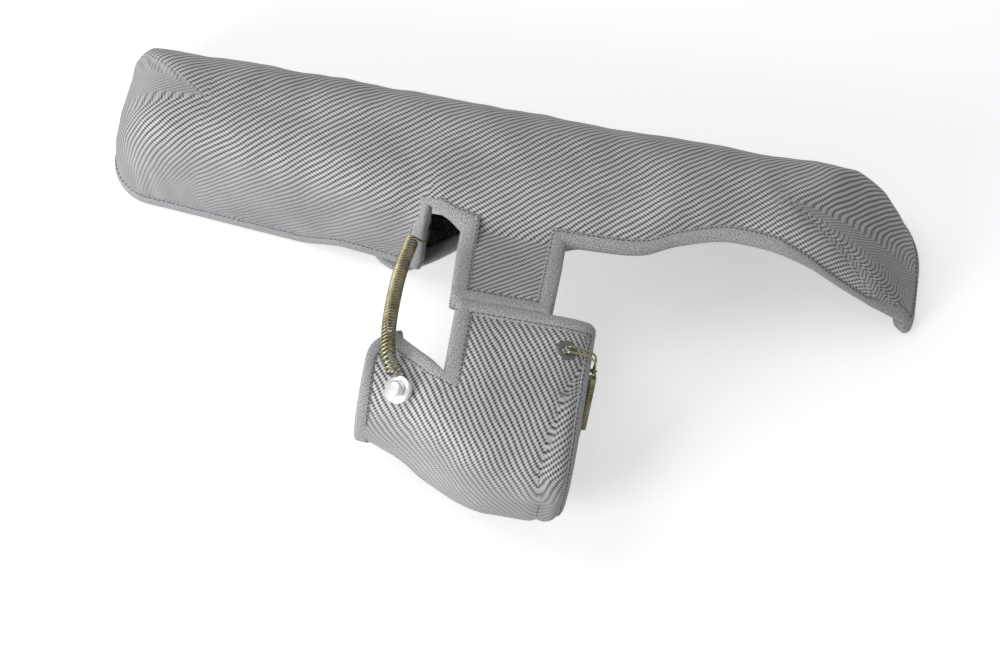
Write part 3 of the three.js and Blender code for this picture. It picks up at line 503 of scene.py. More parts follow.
wall_left = fine_wall(near_wall)
gap_left = fine_wall([near_wall[-1], neck_wall[0]])[1:-1]
wall_neck = fine_wall(neck_wall)
wall_right = fine_wall([neck_wall[-1]] + cut_away_wall)[1:]
near_columns = np.vstack([wall_left, gap_left, wall_neck, wall_right])
notch_column = len(wall_left) - 1
neck_first = notch_column + len(gap_left) + 1
neck_last = neck_first + len(wall_neck) - 1
corner_start = len(near_columns)
ridge_part = near_columns[near_columns[:, 0] <= ridge_right]


def plain_wall(_=0):
    return side_height, rim_level, wall_squareness


def far_wall(xs):
    return [(x, bar_back, *plain_wall()) for x in xs]


bar_columns = np.vstack([
    arc_columns(234, -19, 13, -45, 0, 6, lambda t: (13 + 9 * t, rim_level, 1.5)),
    arc_columns(205, 12, 42, 0, 90, 24, lambda t: (30 + 15 * t, rim_level, 1.5 + 1.5 * t * t)),
    far_wall(np.linspace(203, 153, 18)),
    far_wall(ridge_part[::-1, 0]),
    far_wall(np.linspace(-193, -231, 13)),
    arc_columns(-233, 41, 13, 90, 180, 10, plain_wall),
    arc_columns(-218, -3, 28, 180, 270, 20, plain_wall),
    [(x, -31 - 2 * (x + 218) / 28, *plain_wall()) for x in np.linspace(-215, -193, 8)],
])
bar_columns = np.vstack([near_columns, bar_columns])
row_counts = [5, 12, 5, 7, 7, 9]
cut_row = row_counts[0] + row_counts[1]


def wall_rows(column):
    x, y, cut, rim, squareness = column
    ridge_x = min(max(x, ridge_left), ridge_right)
    angle = np.linspace(0, math.pi / 2, 181)
    out = np.cos(angle).clip(0) ** (2 / squareness)
    rise = np.sin(angle) ** (2 / squareness)
    out[-1] = 0
    line = np.stack([ridge_x + (x - ridge_x) * out, ridge_y + (y - ridge_y) * out,
                     rim + (bar_height - rim) * rise], axis=1)
    lengths = length_along(line)
    k = max(1, int(np.argmax(line[:, 2] >= cut)))
    share = (cut - line[k - 1, 2]) / (line[k, 2] - line[k - 1, 2])
    at_cut = lengths[k - 1] + share * (lengths[k] - lengths[k - 1])
    rest = lengths[-1] - at_cut - hem_reach
    stops = [0, min(hem_reach, at_cut / 2), at_cut, at_cut + hem_reach,
             at_cut + hem_reach + rest / 3, at_cut + hem_reach + 2 * rest / 3, lengths[-1]]
    wanted = fine_stops(stops, row_counts)
    return at_lengths(line, wanted), lengths[-1] - wanted, np.array([x - ridge_x, y - ridge_y]), ridge_x


neck_taper = 0.93
neck_end_low, neck_end_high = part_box("neck_end_tape")
tape_past_edge, tape_over_face = 2.2, 1.4
neck_end_y = neck_end_low.y / MM + tape_past_edge - row_y
neck_end_z = neck_end_high.z / MM - tape_over_face
bar_points, bar_chart = [], []
for i, column in enumerate(bar_columns):
    rows, reach, direction, ridge_x = wall_rows(column)
    size = np.linalg.norm(direction)
    direction = direction / size if size > 1e-6 else np.array([0, 1.0])
    chart = np.stack([ridge_x + direction[0] * reach, ridge_y + direction[1] * reach], axis=1)
    if neck_first <= i <= neck_last:
        end = np.array([column[0] * neck_taper, neck_end_y, neck_end_z])
        edge = rows[cut_row]
        line = np.array([end, edge])
        span = np.linalg.norm(edge - end)
        wanted = fine_stops([0, hem_reach, span], row_counts[:2])
        rows = np.vstack([at_lengths(line, wanted)[:-1], rows[cut_row:]])
        chart = np.vstack([chart[cut_row] + np.outer(span - wanted[:-1], direction), chart[cut_row:]])
    bar_points.append(rows)
    bar_chart.append(chart)
bar_points = np.array(bar_points) + place_shift
bar_chart = np.array(bar_chart)
bar_cells = np.ones((len(bar_columns), bar_points.shape[1] - 1), bool)
bar_cells[notch_column:neck_first, :cut_row] = False
bar_cells[neck_last:corner_start, :cut_row] = False
bar = Panel(bar_points, bar_chart, bar_cells, closed=True)

flat_bar = bar.points.reshape(-1, 3)
bar_push = folds(flat_bar, size=34, height=1.5, seed=3) + folds(flat_bar, size=13, height=0.7, seed=8)
gather_start, gather_length, gather_top, gather_fade = -150, 70, 60, 40
gather_height, bar_slack = 0.8, 1.2
left_end = (np.clip((gather_start - flat_bar[:, 0]) / gather_length, 0, 1)
            * np.clip((gather_top - flat_bar[:, 2]) / gather_fade, 0, 1))
gathers = np.sin(flat_bar[:, 0] / 2.1 + flat_bar[:, 1] / 5 + 3 * folds(flat_bar, size=20, height=1, seed=5))
bar_push += left_end * gathers * gather_height - bar_slack
bar_push = bar_push.reshape(bar.columns, bar.rows) * bar.free
manifold_shell = bar.skin("manifold_shell", 0, -skin_depth, basalt_twill, bar_push)
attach(manifold_shell, "root")
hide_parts("manifold_cover", "manifold_core")

manifold_liner = bar.skin("manifold_liner", -skin_depth - ply_gap, -pad_thickness, lining_cloth,
                          np.zeros_like(bar_push))
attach(manifold_liner, "root")
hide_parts("manifold_lining")


# Round shell: the drum, one panel of the same twill wrapped round a moulded mat, open at the back,
# with a V notch in front, a lobe that the spring pulls on, and a dart sewn down its front.
drum_depth, drum_height, drum_centre = 62, 48.4, -139
outlet_x, outlet_depth, outlet_height, outlet_drop = -70, 31, 35, 2
notch_x, drum_top_y, notch_apex_y = -24, -99, -146
lobe_tip_y, lobe_tip_reach, lobe_tip_blend, rear_edge_y = -115.5, 29, 22, -128
shoulder = [(55, 0.78), (54.8, 0.82), (54.3, 0.86), (53.4, 0.9), (52.3, 0.93), (50.6, 0.955), (48, 0.972),
            (45, 0.984), (41, 0.993), (37, 0.998)]
dart_line = [(-40, 56), (-15, 50), (0, 43), (30, 38.5), (50, 36), (70, 40)]
drum_rib_turn = math.radians(97)
drum_rib_scale = 0.93
drum_slack, dart_depth, dart_width = 0.6, 1.6, 2.2
dart_sewn_from, dart_sewn_to, dart_stitch_sink = 42, 96, 1.9
near_taper, front_taper = 12, -22
belt_level = rim_level + drum_height


def taper(x, start):
    along = np.clip((start - x) / (start - outlet_x), 0, 1)
    return along * along * (3 - 2 * along)


def drum_section(x, share):
    near, front = taper(x, near_taper), taper(x, front_taper)
    return (drum_centre - outlet_drop * front, (drum_depth + (outlet_depth - drum_depth) * near) * share,
            (drum_depth + (outlet_depth - drum_depth) * front) * share,
            (drum_height + (outlet_height - drum_height) * front) * share, 3 - 0.6 * front)


def drum_line(x, share, start_y):
    """The section from a place on the front round to the rear edge."""
    centre, near, far, height, squareness = drum_section(x, share)

    def angle_at(y, rear):
        depth = far if y > centre else near
        side = np.clip((y - centre) / depth, -1, 1)
        angle = math.acos(math.copysign(abs(side) ** (squareness / 2), side))
        return 2 * math.pi - angle if rear else angle

    angle = np.linspace(angle_at(start_y, False), angle_at(rear_edge_y, True), 400)
    side, rise = (np.sign(t) * np.abs(t) ** (2 / squareness) for t in (np.cos(angle), np.sin(angle)))
    y = centre + np.where(side > 0, far, near) * side
    return np.stack([np.full(len(y), float(x)), y, belt_level + height * rise], axis=1)


drum_counts = [5, 11, 5, 50, 5]
apex_row = drum_counts[0] + drum_counts[1]
plain_xs = np.linspace(34, notch_x, 21)
main_profile = shoulder + [(x, 1.0) for x in plain_xs]
profile_run = length_along(np.array([(x, share * drum_depth, 0) for x, share in main_profile]))
profile_u = profile_run[-1] + notch_x - profile_run
lobe_shares = np.linspace(0, 1, 17)[1:]
drum_points, drum_chart = [], []
for (x, share), across_u in zip(main_profile, profile_u):
    line = drum_line(x, share, drum_top_y)
    lengths = length_along(line)
    at_apex = lengths[int(np.argmax(line[:, 1] <= notch_apex_y))]
    stops = [0, hem_reach, at_apex, at_apex + hem_reach, lengths[-1] - hem_reach, lengths[-1]]
    wanted = fine_stops(stops, drum_counts)
    drum_points.append(at_lengths(line, wanted))
    chart = np.stack([np.full(len(wanted), across_u), wanted - at_apex], axis=1)
    drum_chart.append(chart)
for share in lobe_shares:
    start_y = notch_apex_y + (lobe_tip_y - notch_apex_y) * share
    x = notch_x - share * (notch_x - outlet_x)
    line = drum_line(x, 1.0, start_y)
    near_tip = np.clip((line[:, 1] - lobe_tip_y) / lobe_tip_blend + 1, 0, 1)
    on_front = line[:, 2] > belt_level
    line[:, 0] += share * (notch_x - outlet_x - lobe_tip_reach) * near_tip ** 2 * on_front
    lengths = length_along(line)
    at_apex = lengths[int(np.argmax(line[:, 1] <= notch_apex_y))]
    wanted = fine_stops([0, hem_reach, lengths[-1] - hem_reach, lengths[-1]], drum_counts[2:])
    rows = at_lengths(line, wanted)
    drum_points.append(np.vstack([np.repeat(rows[:1], apex_row, axis=0), rows]))
    chart = np.stack([np.full(len(wanted), float(x)), wanted - at_apex], axis=1)
    drum_chart.append(np.vstack([np.repeat(chart[:1], apex_row, axis=0), chart]))
drum_points = np.array(drum_points) + place_shift
drum_chart = np.array(drum_chart)
notch_last = len(main_profile) - 1
drum_cells = np.ones((len(drum_points), drum_points.shape[1] - 1), bool)
drum_cells[notch_last:, :apex_row] = False
u, v = drum_chart[..., 0], drum_chart[..., 1]
dart_u = np.interp(v, [d[0] for d in dart_line], [d[1] for d in dart_line])
dart_gap = u - dart_u
mirrored = dart_u - np.abs(dart_gap)
turn = np.array([[math.cos(drum_rib_turn), -math.sin(drum_rib_turn)],
                 [math.sin(drum_rib_turn), math.cos(drum_rib_turn)]])
drum_cloth = np.stack([mirrored, -v], axis=2) @ turn.T * drum_rib_scale
drum = Panel(drum_points, drum_cloth, drum_cells, closed=False)
flat_drum = drum.points.reshape(-1, 3)
drum_push = folds(flat_drum, size=30, height=1.3, seed=21) + folds(flat_drum, size=12, height=0.5, seed=27)
drum_push = drum_push.reshape(drum.columns, drum.rows) - drum_slack
drum_push -= dart_depth * np.exp(-(dart_gap / dart_width) ** 2) * np.clip((v + 30) / 20, 0, 1)
drum_push *= drum.free
turbine_shell = drum.skin("turbine_shell", 0, -skin_depth, basalt_twill, drum_push)
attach(turbine_shell, "root")
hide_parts("turbine_cover", "turbine_core")

dart_path = []
for j in range(drum.rows):
    if dart_sewn_from < v[notch_last, j] < dart_sewn_to:
        i = int(np.argmax(dart_gap[:, j] < 0))
        share = dart_gap[i - 1, j] / (dart_gap[i - 1, j] - dart_gap[i, j])
        place = drum.points[i - 1, j] * (1 - share) + drum.points[i, j] * share
        dart_path.append(place - drum.normals[i, j] * dart_stitch_sink)

turbine_liner = drum.skin("turbine_liner", -skin_depth - ply_gap, -pad_thickness, lining_cloth,
                          np.zeros_like(drum_push))
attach(turbine_liner, "root")
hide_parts("turbine_lining")


# Binding: a knitted glass-fibre tape, 9 mm wide on each face, folded over every cut edge and sewn
# through. Knitted from fine pale yarn, so it is lighter than the twill, matt and a little fuzzy.
stitch_inset = 8.0
stitch_sink = 0.45
floor_gap, proud = 0.02, 0.15
tape_pale = "#c2c2c5"
tape_shade = "#6a6a6d"
knit_spacing = 1.5
tape_outline = [
    (9.2, -1.5), (9.0, -0.75), (8.0, -0.75), (6.8, -0.05), (4.5, 0.3), (2.0, 0.3), (0.4, 0.0), (-0.7, -0.8),
    (-1.2, -2.2), (-1.3, -4.8), (-1.2, -7.6), (-0.7, -9.3), (0.4, -10.1), (3.0, -10.3), (6.8, -10.2),
    (9.0, -9.5),
]
knitted_tape, tree = new_material("knitted_glass_tape")
chart = add(tree, "ShaderNodeUVMap", uv_map="cloth")
loops = []
for direction in ((1, 0.6, 0), (1, -0.6, 0)):
    turns = tuple(2 * math.pi / knit_spacing * c for c in direction)
    phase = add(tree, "ShaderNodeVectorMath", {0: chart.outputs[0], 1: turns}, operation="DOT_PRODUCT")
    loops.append(add(tree, "ShaderNodeMath", {0: phase.outputs["Value"]}, operation="SINE").outputs[0])
knit = add(tree, "ShaderNodeMath", {0: loops[0], 1: loops[1]}, operation="MAXIMUM")
fuzz = add(tree, "ShaderNodeTexNoise", {"Vector": chart.outputs[0], "Scale": 0.9, "Detail": 4.0})
raised = add(tree, "ShaderNodeMath", {0: knit.outputs[0], 1: 0.16, 2: fuzz.outputs["Fac"]},
             operation="MULTIPLY_ADD")
ramp = add(tree, "ShaderNodeValToRGB", {"Fac": raised.outputs[0]})
for stop, place, colour in zip(ramp.color_ramp.elements, (0.3, 0.75), (tape_shade, tape_pale)):
    stop.position, stop.color = place, srgb(colour)
bump = add(tree, "ShaderNodeBump", {"Height": raised.outputs[0], "Strength": 0.8, "Distance": 0.4 * MM})
cloth = add(tree, "ShaderNodeBsdfPrincipled", {"Base Color": ramp.outputs["Color"], "Roughness": 0.85,
                                               "Sheen Weight": 0.2, "Normal": bump.outputs[0]})
add(tree, "ShaderNodeOutputMaterial", {"Surface": cloth.outputs[0]})


def tube_faces(rings, sides):
    faces = []
    for n in range(rings - 1):
        for k in range(sides):
            m = (k + 1) % sides
            faces.append((n * sides + k, n * sides + m, (n + 1) * sides + m, (n + 1) * sides + k))
    return faces


def stop_place(panel, stop, distance, level):
    i, j, di, dj = stop
    start = panel.at(i, j)[0]
    place, normals = start.copy(), []
    for step in ((di, 0), (0, dj)):
        if step != (0, 0):
            moved, normal = panel.inward(i, j, step, distance)
            place = place + moved - start
            normals.append(normal)
    normal = sum(normals)
    return place + normal / np.linalg.norm(normal) * level


def binding(name, node, panel, stops, lift=0.0, thickness=pad_thickness):
    outline = [(w, level + (lift if level > -1 else 0)) for w, level in tape_outline]
    thinner = pad_thickness - thickness
    outline = [(w, level + thinner * min(1, -level / pad_thickness)) for w, level in outline]
    sections = [[stop_place(panel, stop, w, level) for w, level in outline] for stop in stops]
    count = len(tape_outline)
    points = np.array(sections).reshape(-1, 3)
    points[:, 2] = np.maximum(points[:, 2], floor_gap)
    faces = tube_faces(len(stops), count)
    faces.append(tuple(range(count)))
    faces.append(tuple(reversed(range((len(stops) - 1) * count, len(stops) * count))))
    tape = mesh_piece(name, points * MM, faces, knitted_tape)
    run = length_along(np.array([s[4] for s in sections]))
    girth = length_along(np.array(sections[len(sections) // 2]))
    chart = np.stack([np.repeat(run, count), np.tile(girth, len(stops))], axis=1)
    set_chart(tape, chart)
    tidy_mesh(tape)
    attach(tape, "root")
    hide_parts(node)
    stitch_paths.append([stop_place(panel, stop, stitch_inset, lift - stitch_sink) for stop in stops])


def through(first, last):
    step = 1 if last > first else -1
    return range(first, last + step, step)


def row_run(i_from, i_to, j, dj):
    return [(i, j, 0, dj) for i in through(i_from, i_to)]


def column_run(i, di, j_from, j_to):
    return [(i, j, di, 0) for j in through(j_from, j_to)]


stitch_paths = [dart_path]
wall_cut = cut_row
ends_clear = 4
rim_run = row_run(corner_start, bar.columns, 0, 1) + row_run(1, notch_column, 0, 1)
binding("rim_binding", "rim_tape", bar, rim_run, proud)
notch_run = (column_run(notch_column, -1, 0, wall_cut - ends_clear) + [(notch_column, wall_cut, -1, 1)]
             + row_run(notch_column + 3, neck_first - 3, wall_cut, 1) + [(neck_first, wall_cut, 1, 1)]
             + column_run(neck_first, 1, wall_cut - ends_clear, 0))
binding("notch_binding", "outlet_notch_tape", bar, notch_run)
binding("neck_end_binding", "neck_end_tape", bar, row_run(neck_first, neck_last, 0, 1), proud)
long_run = (column_run(neck_last, -1, 0, wall_cut - ends_clear) + [(neck_last, wall_cut, -1, 1)]
            + row_run(neck_last + 3, corner_start - 3, wall_cut, 1) + [(corner_start, wall_cut, 1, 1)]
            + column_run(corner_start, 1, wall_cut - ends_clear, 0))
binding("long_binding", "long_edge_tape", bar, long_run)
outlet_column, rear_row = drum.columns - 1, drum.rows - 1
binding("turbine_top_binding", "turbine_top_tape", drum, row_run(0, notch_last, 0, 1), proud)
v_run = (column_run(notch_last, -1, 0, apex_row - ends_clear) + [(notch_last, apex_row, -1, 1)]
         + row_run(notch_last + 3, outlet_column, apex_row, 1))
binding("v_notch_binding", "v_notch_tape", drum, v_run)
outlet_run = column_run(outlet_column, -1, apex_row, rear_row)
binding("outlet_binding", "outlet_tape", drum, outlet_run, proud)
binding("housing_binding", "housing_tape", drum, column_run(0, 1, 0, rear_row))
binding("rear_binding", "rear_edge_tape", drum, row_run(0, outlet_column, rear_row, -1), -0.1)


# Neck flap: a small quilted tongue behind the notch, under the near wall. Its lining side faces
# out, worn until pale glass fibres stand up from it, and its round edge is bound.
flap_thickness, flap_top, flap_slack = 5, 7.1, 0.5
flap_edge = [(-86, -24), (-82, -36), (-74, -43), (-64, -46), (-50, -39), (-38, -30), (-31, -24)]
flap_inner_y = -6
flap_columns, flap_rows = 37, 15
flap_runs = range(len(flap_edge))
flap_steps = np.linspace(0, len(flap_edge) - 1, flap_columns)
flap_x = eased(flap_runs, [e[0] for e in flap_edge], flap_steps)
flap_y = eased(flap_runs, [e[1] for e in flap_edge], flap_steps)
flap_points = np.array([[(x, y + (flap_inner_y - y) * share, flap_top)
                         for share in np.linspace(0, 1, flap_rows)]
                        for x, y in zip(flap_x, flap_y)]) + place_shift
flap_cells = np.ones((flap_columns, flap_rows - 1), bool)
flap = Panel(flap_points, flap_points[..., :2].copy(), flap_cells, closed=False)
flap_rise = folds(flap.points.reshape(-1, 3), size=9, height=0.5, seed=31)
flap_rise = flap_rise.reshape(flap_columns, flap_rows) * flap.free - flap_slack
neck_tongue = flap.skin("neck_tongue", 0, -flap_thickness, lining_cloth, flap_rise)
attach(neck_tongue, "root")
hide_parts("neck_flap")
flap_run = row_run(0, flap_columns - 1, 0, 1)
binding("neck_tongue_binding", "neck_flap_tape", flap, flap_run, -0.2, flap_thickness)

fibre_count, fibre_length, fibre_width = 260, 3.2, 0.14
fibre_pale = "#a9a79f"
# Loose glass fibre: drawn filament that has worked out of the cloth, pale, with a thin bright line.
glass_fibre, tree = new_material("loose_glass_fibre")
strand = add(tree, "ShaderNodeBsdfPrincipled", {"Base Color": srgb(fibre_pale), "Roughness": 0.4})
add(tree, "ShaderNodeOutputMaterial", {"Surface": strand.outputs[0]})
dice = np.random.default_rng(4)
fibre_points, fibre_faces = [], []
for _ in range(fibre_count):
    foot = flap.points[dice.integers(8, 35), dice.integers(4, 13)] + np.array([*dice.uniform(-1, 1, 2), -0.9])
    lean = np.array([*dice.normal(0, 0.8, 2), 0.5])
    middle = foot + lean / np.linalg.norm(lean) * fibre_length * 0.5
    tip = middle + (lean + dice.normal(0, 0.5, 3)) * 0.6
    tip[2] = min(tip[2], flap_top + 1.1)
    middle[2] = min(middle[2], flap_top + 1.0)
    side = np.array([-lean[1], lean[0], 0.2]) / np.linalg.norm(lean) * fibre_width
    base = len(fibre_points)
    for root in (foot, middle):
        fibre_points += [root, root + side, root + (0, 0, fibre_width)]
    fibre_points.append(tip)
    for a, b in ((0, 1), (1, 2), (2, 0)):
        fibre_faces += [(base + a, base + b, base + 3 + b, base + 3 + a),
                        (base + 3 + a, base + 3 + b, base + 6)]
    fibre_faces.append((base + 2, base + 1, base))
fibres = mesh_piece("tongue_fibres", np.array(fibre_points) * MM, fibre_faces, glass_fibre)
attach(fibres, "root")


# Stitches: a lockstitch down the inner edge of each binding and down the dart, through both skins.
# The thread is coated glass yarn, near black and dull, and it sinks into the cloth between holes.
stitch_spacing, stitch_length, stitch_thickness = 2.9 * MM, 2.1 * MM, 0.5 * MM
thread_dark = "#3a3a3c"
dark_thread, tree = new_material("dark_glass_thread")
strand = add(tree, "ShaderNodeBsdfPrincipled", {"Base Color": srgb(thread_dark), "Roughness": 0.6})
add(tree, "ShaderNodeOutputMaterial", {"Surface": strand.outputs[0]})
path_points, path_edges = [], []
for path in stitch_paths:
    start = len(path_points)
    path_points += [tuple(p * MM) for p in path]
    path_edges += [(k, k + 1) for k in range(start, len(path_points) - 1)]
path_mesh = bpy.data.meshes.new("stitch_paths")
path_mesh.from_pydata(path_points, path_edges, [])
stitch_line = bpy.data.objects.new("stitch_paths", path_mesh)
bpy.context.collection.objects.link(stitch_line)
sewing = bpy.data.node_groups.new("lockstitch", "GeometryNodeTree")
sewing.interface.new_socket("Geometry", in_out="INPUT", socket_type="NodeSocketGeometry")
stitch_inputs = {
    label: sewing.interface.new_socket(label, in_out="INPUT", socket_type="NodeSocketFloat").identifier
    for label in ("Spacing", "Length", "Thickness")
}
sewing.interface.new_socket("Geometry", in_out="OUTPUT", socket_type="NodeSocketGeometry")
given = add(sewing, "NodeGroupInput")
curve = add(sewing, "GeometryNodeMeshToCurve", {"Mesh": given.outputs["Geometry"]})
marks = add(sewing, "GeometryNodeCurveToPoints",
            {"Curve": curve.outputs[0], "Length": given.outputs["Spacing"]}, mode="LENGTH")
bead = add(sewing, "GeometryNodeMeshUVSphere", {"Segments": 8, "Rings": 6, "Radius": 0.5})
size = add(sewing, "ShaderNodeCombineXYZ", {"X": given.outputs["Thickness"], "Y": given.outputs["Thickness"],
                                            "Z": given.outputs["Length"]})
placed = add(sewing, "GeometryNodeInstanceOnPoints",
             {"Points": marks.outputs["Points"], "Instance": bead.outputs["Mesh"],
              "Rotation": marks.outputs["Rotation"], "Scale": size.outputs[0]})
real = add(sewing, "GeometryNodeRealizeInstances", {"Geometry": placed.outputs[0]})
round_look = add(sewing, "GeometryNodeSetShadeSmooth", {"Geometry": real.outputs[0]})
finished = add(sewing, "GeometryNodeSetMaterial",
               {"Geometry": round_look.outputs[0], "Material": dark_thread})
add(sewing, "NodeGroupOutput", {"Geometry": finished.outputs[0]})
sewn = stitch_line.modifiers.new("lockstitch", "NODES")
sewn.node_group = sewing
for label, value in (("Spacing", stitch_spacing), ("Length", stitch_length), ("Thickness", stitch_thickness)):
    sewn[stitch_inputs[label]] = value
bpy.context.view_layer.update()
evaluated = stitch_line.evaluated_get(bpy.context.evaluated_depsgraph_get())
stitch_mesh = bpy.data.meshes.new_from_object(evaluated)
bpy.data.objects.remove(stitch_line)
stitches = bpy.data.objects.new("binding_stitches", stitch_mesh)
bpy.context.collection.objects.link(stitches)
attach(stitches, "root")


# Springs: close-wound coils of spring steel wire, heat tinted to a dull olive brass. The long one
# pulls the drum to the long shell, the short one holds the drum's right rim.
wire_radius, coil_radius, coil_pitch = 0.7, 3.55, 2.4
side_wire_radius, side_coil_radius, side_coil_pitch = 0.6, 2.4, 1.75
steel_olive = "#c2bc9a"
steel_shade = "#857f63"
spring_steel, tree = new_material("tinted_spring_steel")
places = add(tree, "ShaderNodeTexCoord")
tint = add(tree, "ShaderNodeTexNoise", {"Vector": places.outputs["Object"], "Scale": 90.0, "Detail": 3.0})
ramp = add(tree, "ShaderNodeValToRGB", {"Fac": tint.outputs["Fac"]})
for stop, place, colour in zip(ramp.color_ramp.elements, (0.3, 0.65), (steel_shade, steel_olive)):
    stop.position, stop.color = place, srgb(colour)
metal = add(tree, "ShaderNodeBsdfPrincipled", {"Base Color": ramp.outputs["Color"], "Metallic": 1.0,
                                                "Roughness": 0.3})
add(tree, "ShaderNodeOutputMaterial", {"Surface": metal.outputs[0]})


def unit(v):
    return v / np.linalg.norm(v)


def smooth_line(points, per_leg):
    p = np.array(points, float)
    p = np.vstack([2 * p[0] - p[1], p, 2 * p[-1] - p[-2]])
    line = []
    for k in range(1, len(p) - 2):
        a, b, c, d = p[k - 1:k + 3]
        for t in np.linspace(0, 1, per_leg, endpoint=False):
            line.append(0.5 * (2 * b + (c - a) * t + (2 * a - 5 * b + 4 * c - d) * t * t
                               + (3 * b - a - 3 * c + d) * t ** 3))
    return np.array(line + [p[-2]])


def round_wire(name, node, line, radius):
    sides = 8
    along = np.gradient(line, axis=0)
    across = np.array([0.3, 0.5, 0.8])
    points = []
    for place, direction in zip(line, along):
        direction = unit(direction)
        across = unit(across - direction * np.dot(across, direction))
        third = np.cross(direction, across)
        turns = np.arange(sides) / sides * 2 * math.pi
        points += [place + radius * (math.cos(a) * across + math.sin(a) * third) for a in turns]
    faces = tube_faces(len(line), sides)
    faces.append(tuple(reversed(range(sides))))
    faces.append(tuple(range((len(line) - 1) * sides, len(line) * sides)))
    piece = mesh_piece(name, np.array(points) * MM, faces, spring_steel)
    tidy_mesh(piece)
    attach(piece, "root")
    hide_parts(node)


coil_steps = 18


def coil_line(middle, radius, pitch):
    lengths = length_along(middle)
    turns = max(1, round(lengths[-1] / pitch))
    centre = at_lengths(middle, np.linspace(0, lengths[-1], turns * coil_steps + 1))
    along = np.gradient(centre, axis=0)
    across = np.array([0.2, 0.3, 0.9])
    line = []
    for k, (place, direction) in enumerate(zip(centre, along)):
        direction = unit(direction)
        across = unit(across - direction * np.dot(across, direction))
        angle = k / coil_steps * 2 * math.pi
        third = np.cross(direction, across)
        line.append(place + radius * (math.cos(angle) * across + math.sin(angle) * third))
    return np.array(line)


def middle_of(node):
    low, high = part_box(node)
    return (np.array(low) + np.array(high)) / 2 / MM


def seat_of(node, axis, front_level):
    """The point at level 0 on a turned fastener's axis, from its CAD node."""
    solid = bpy.data.objects[node]
    places = np.array([solid.matrix_world @ v.co for v in solid.data.vertices]) / MM
    centre = places.mean(axis=0)
    return centre + axis * (((places - centre) @ axis).max() - front_level)


def seat_frame(origin, axis, towards):
    forward = unit((towards - origin) - axis * np.dot(towards - origin, axis))
    sideways = np.cross(axis, forward)
    return lambda f, side, level: origin + forward * f + sideways * side + axis * level


washer_thickness, hook_space, fit_gap = 1.0, 3.4, 0.3
button_axis = unit(middle_of("button_washer") - middle_of("back_washer"))
button_seat = seat_of("base_washer", button_axis, fit_gap + washer_thickness)
button_disc_radius, button_head_radius, button_head_height = 7.85, 4.6, 5.0
rivet_radius = 2.2
spring_way = [(-57.6, -53.5, 61), (-60, -77, 72), (-60.5, -100, 81.9), (-59.5, -123, 91), (-56.5, -141, 95.4)]
spring_route = [np.array(p) + place_shift for p in spring_way]
at_button = seat_frame(button_seat, button_axis, spring_route[-1])
coil_end = at_button(button_disc_radius + 1.2, 0, 5.25)
coil_middle = smooth_line(spring_route + [coil_end], 12)
windings = coil_line(coil_middle, coil_radius, coil_pitch)
hook_level = fit_gap + washer_thickness + hook_space / 2
hook_reach = rivet_radius + fit_gap + wire_radius + 0.3
button_hook = [at_button(hook_reach + 2, 0.4, hook_level)] + [
    at_button(hook_reach * math.cos(a), hook_reach * math.sin(a), hook_level)
    for a in np.radians(range(40, 250, 25))]
anchor = middle_of("upper_anchor")
anchor_reach = 2.7
anchor_hook = [anchor + anchor_reach * np.array([math.cos(a), 0.8 * math.sin(a), 0.6 * math.sin(a)])
               for a in np.radians([-200, -160, -120, -80, -40, 0])]
notch_way = [(-49.5, -33, 47.5), (-49.3, -44, 54), (-50.2, -51.5, 59)]
notch_crossing = [np.array(p) + place_shift for p in notch_way]
upper_hook = smooth_line(anchor_hook + notch_crossing + [windings[0]], 6)
lower_hook = smooth_line([windings[-1]] + button_hook, 6)
closing_line = np.vstack([upper_hook[:-1], windings, lower_hook[1:]])
round_wire("closing_coil", "closing_spring", closing_line, wire_radius)


# Button: a turned rivet with a domed head, set through the quilt over two washers, with the
# spring's eye caught between them. Nickel plating makes it the one bright, white spot, and a
# white diffuse share under the metal paints in its glare.
nickel_glare_white = "#fbfbfb"
plated_steel, tree = new_material("bright_plated_steel")
# Metallic below 1 leaves a white diffuse share: painted glare on the plating.
plating = add(tree, "ShaderNodeBsdfPrincipled",
              {"Base Color": srgb(nickel_glare_white), "Metallic": 0.7, "Roughness": 0.28})
add(tree, "ShaderNodeOutputMaterial", {"Surface": plating.outputs[0]})
turned_sides = 48


def turned_piece(name, node, frame_at, profile, material=plated_steel):
    points = [frame_at(r * math.cos(a), r * math.sin(a), level) for r, level in profile
              for a in np.arange(turned_sides) / turned_sides * 2 * math.pi]
    count = len(profile)
    faces = []
    for n in range(count - 1):
        for k in range(turned_sides):
            m = (k + 1) % turned_sides
            here, above = n * turned_sides, (n + 1) * turned_sides
            faces.append((here + k, above + k, above + m, here + m))
    piece = mesh_piece(name, np.array(points) * MM, faces, material)
    tidy_mesh(piece)
    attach(piece, "root")
    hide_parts(node)


def washer_profile(hole, edge, low, high):
    soft = min(0.3, (high - low) / 3)
    return [(hole, low + soft), (hole, high - soft), (hole + soft, high), (edge - soft, high),
            (edge, high - soft), (edge, low + soft), (edge - soft, low), (hole + soft, low),
            (hole, low + soft)]


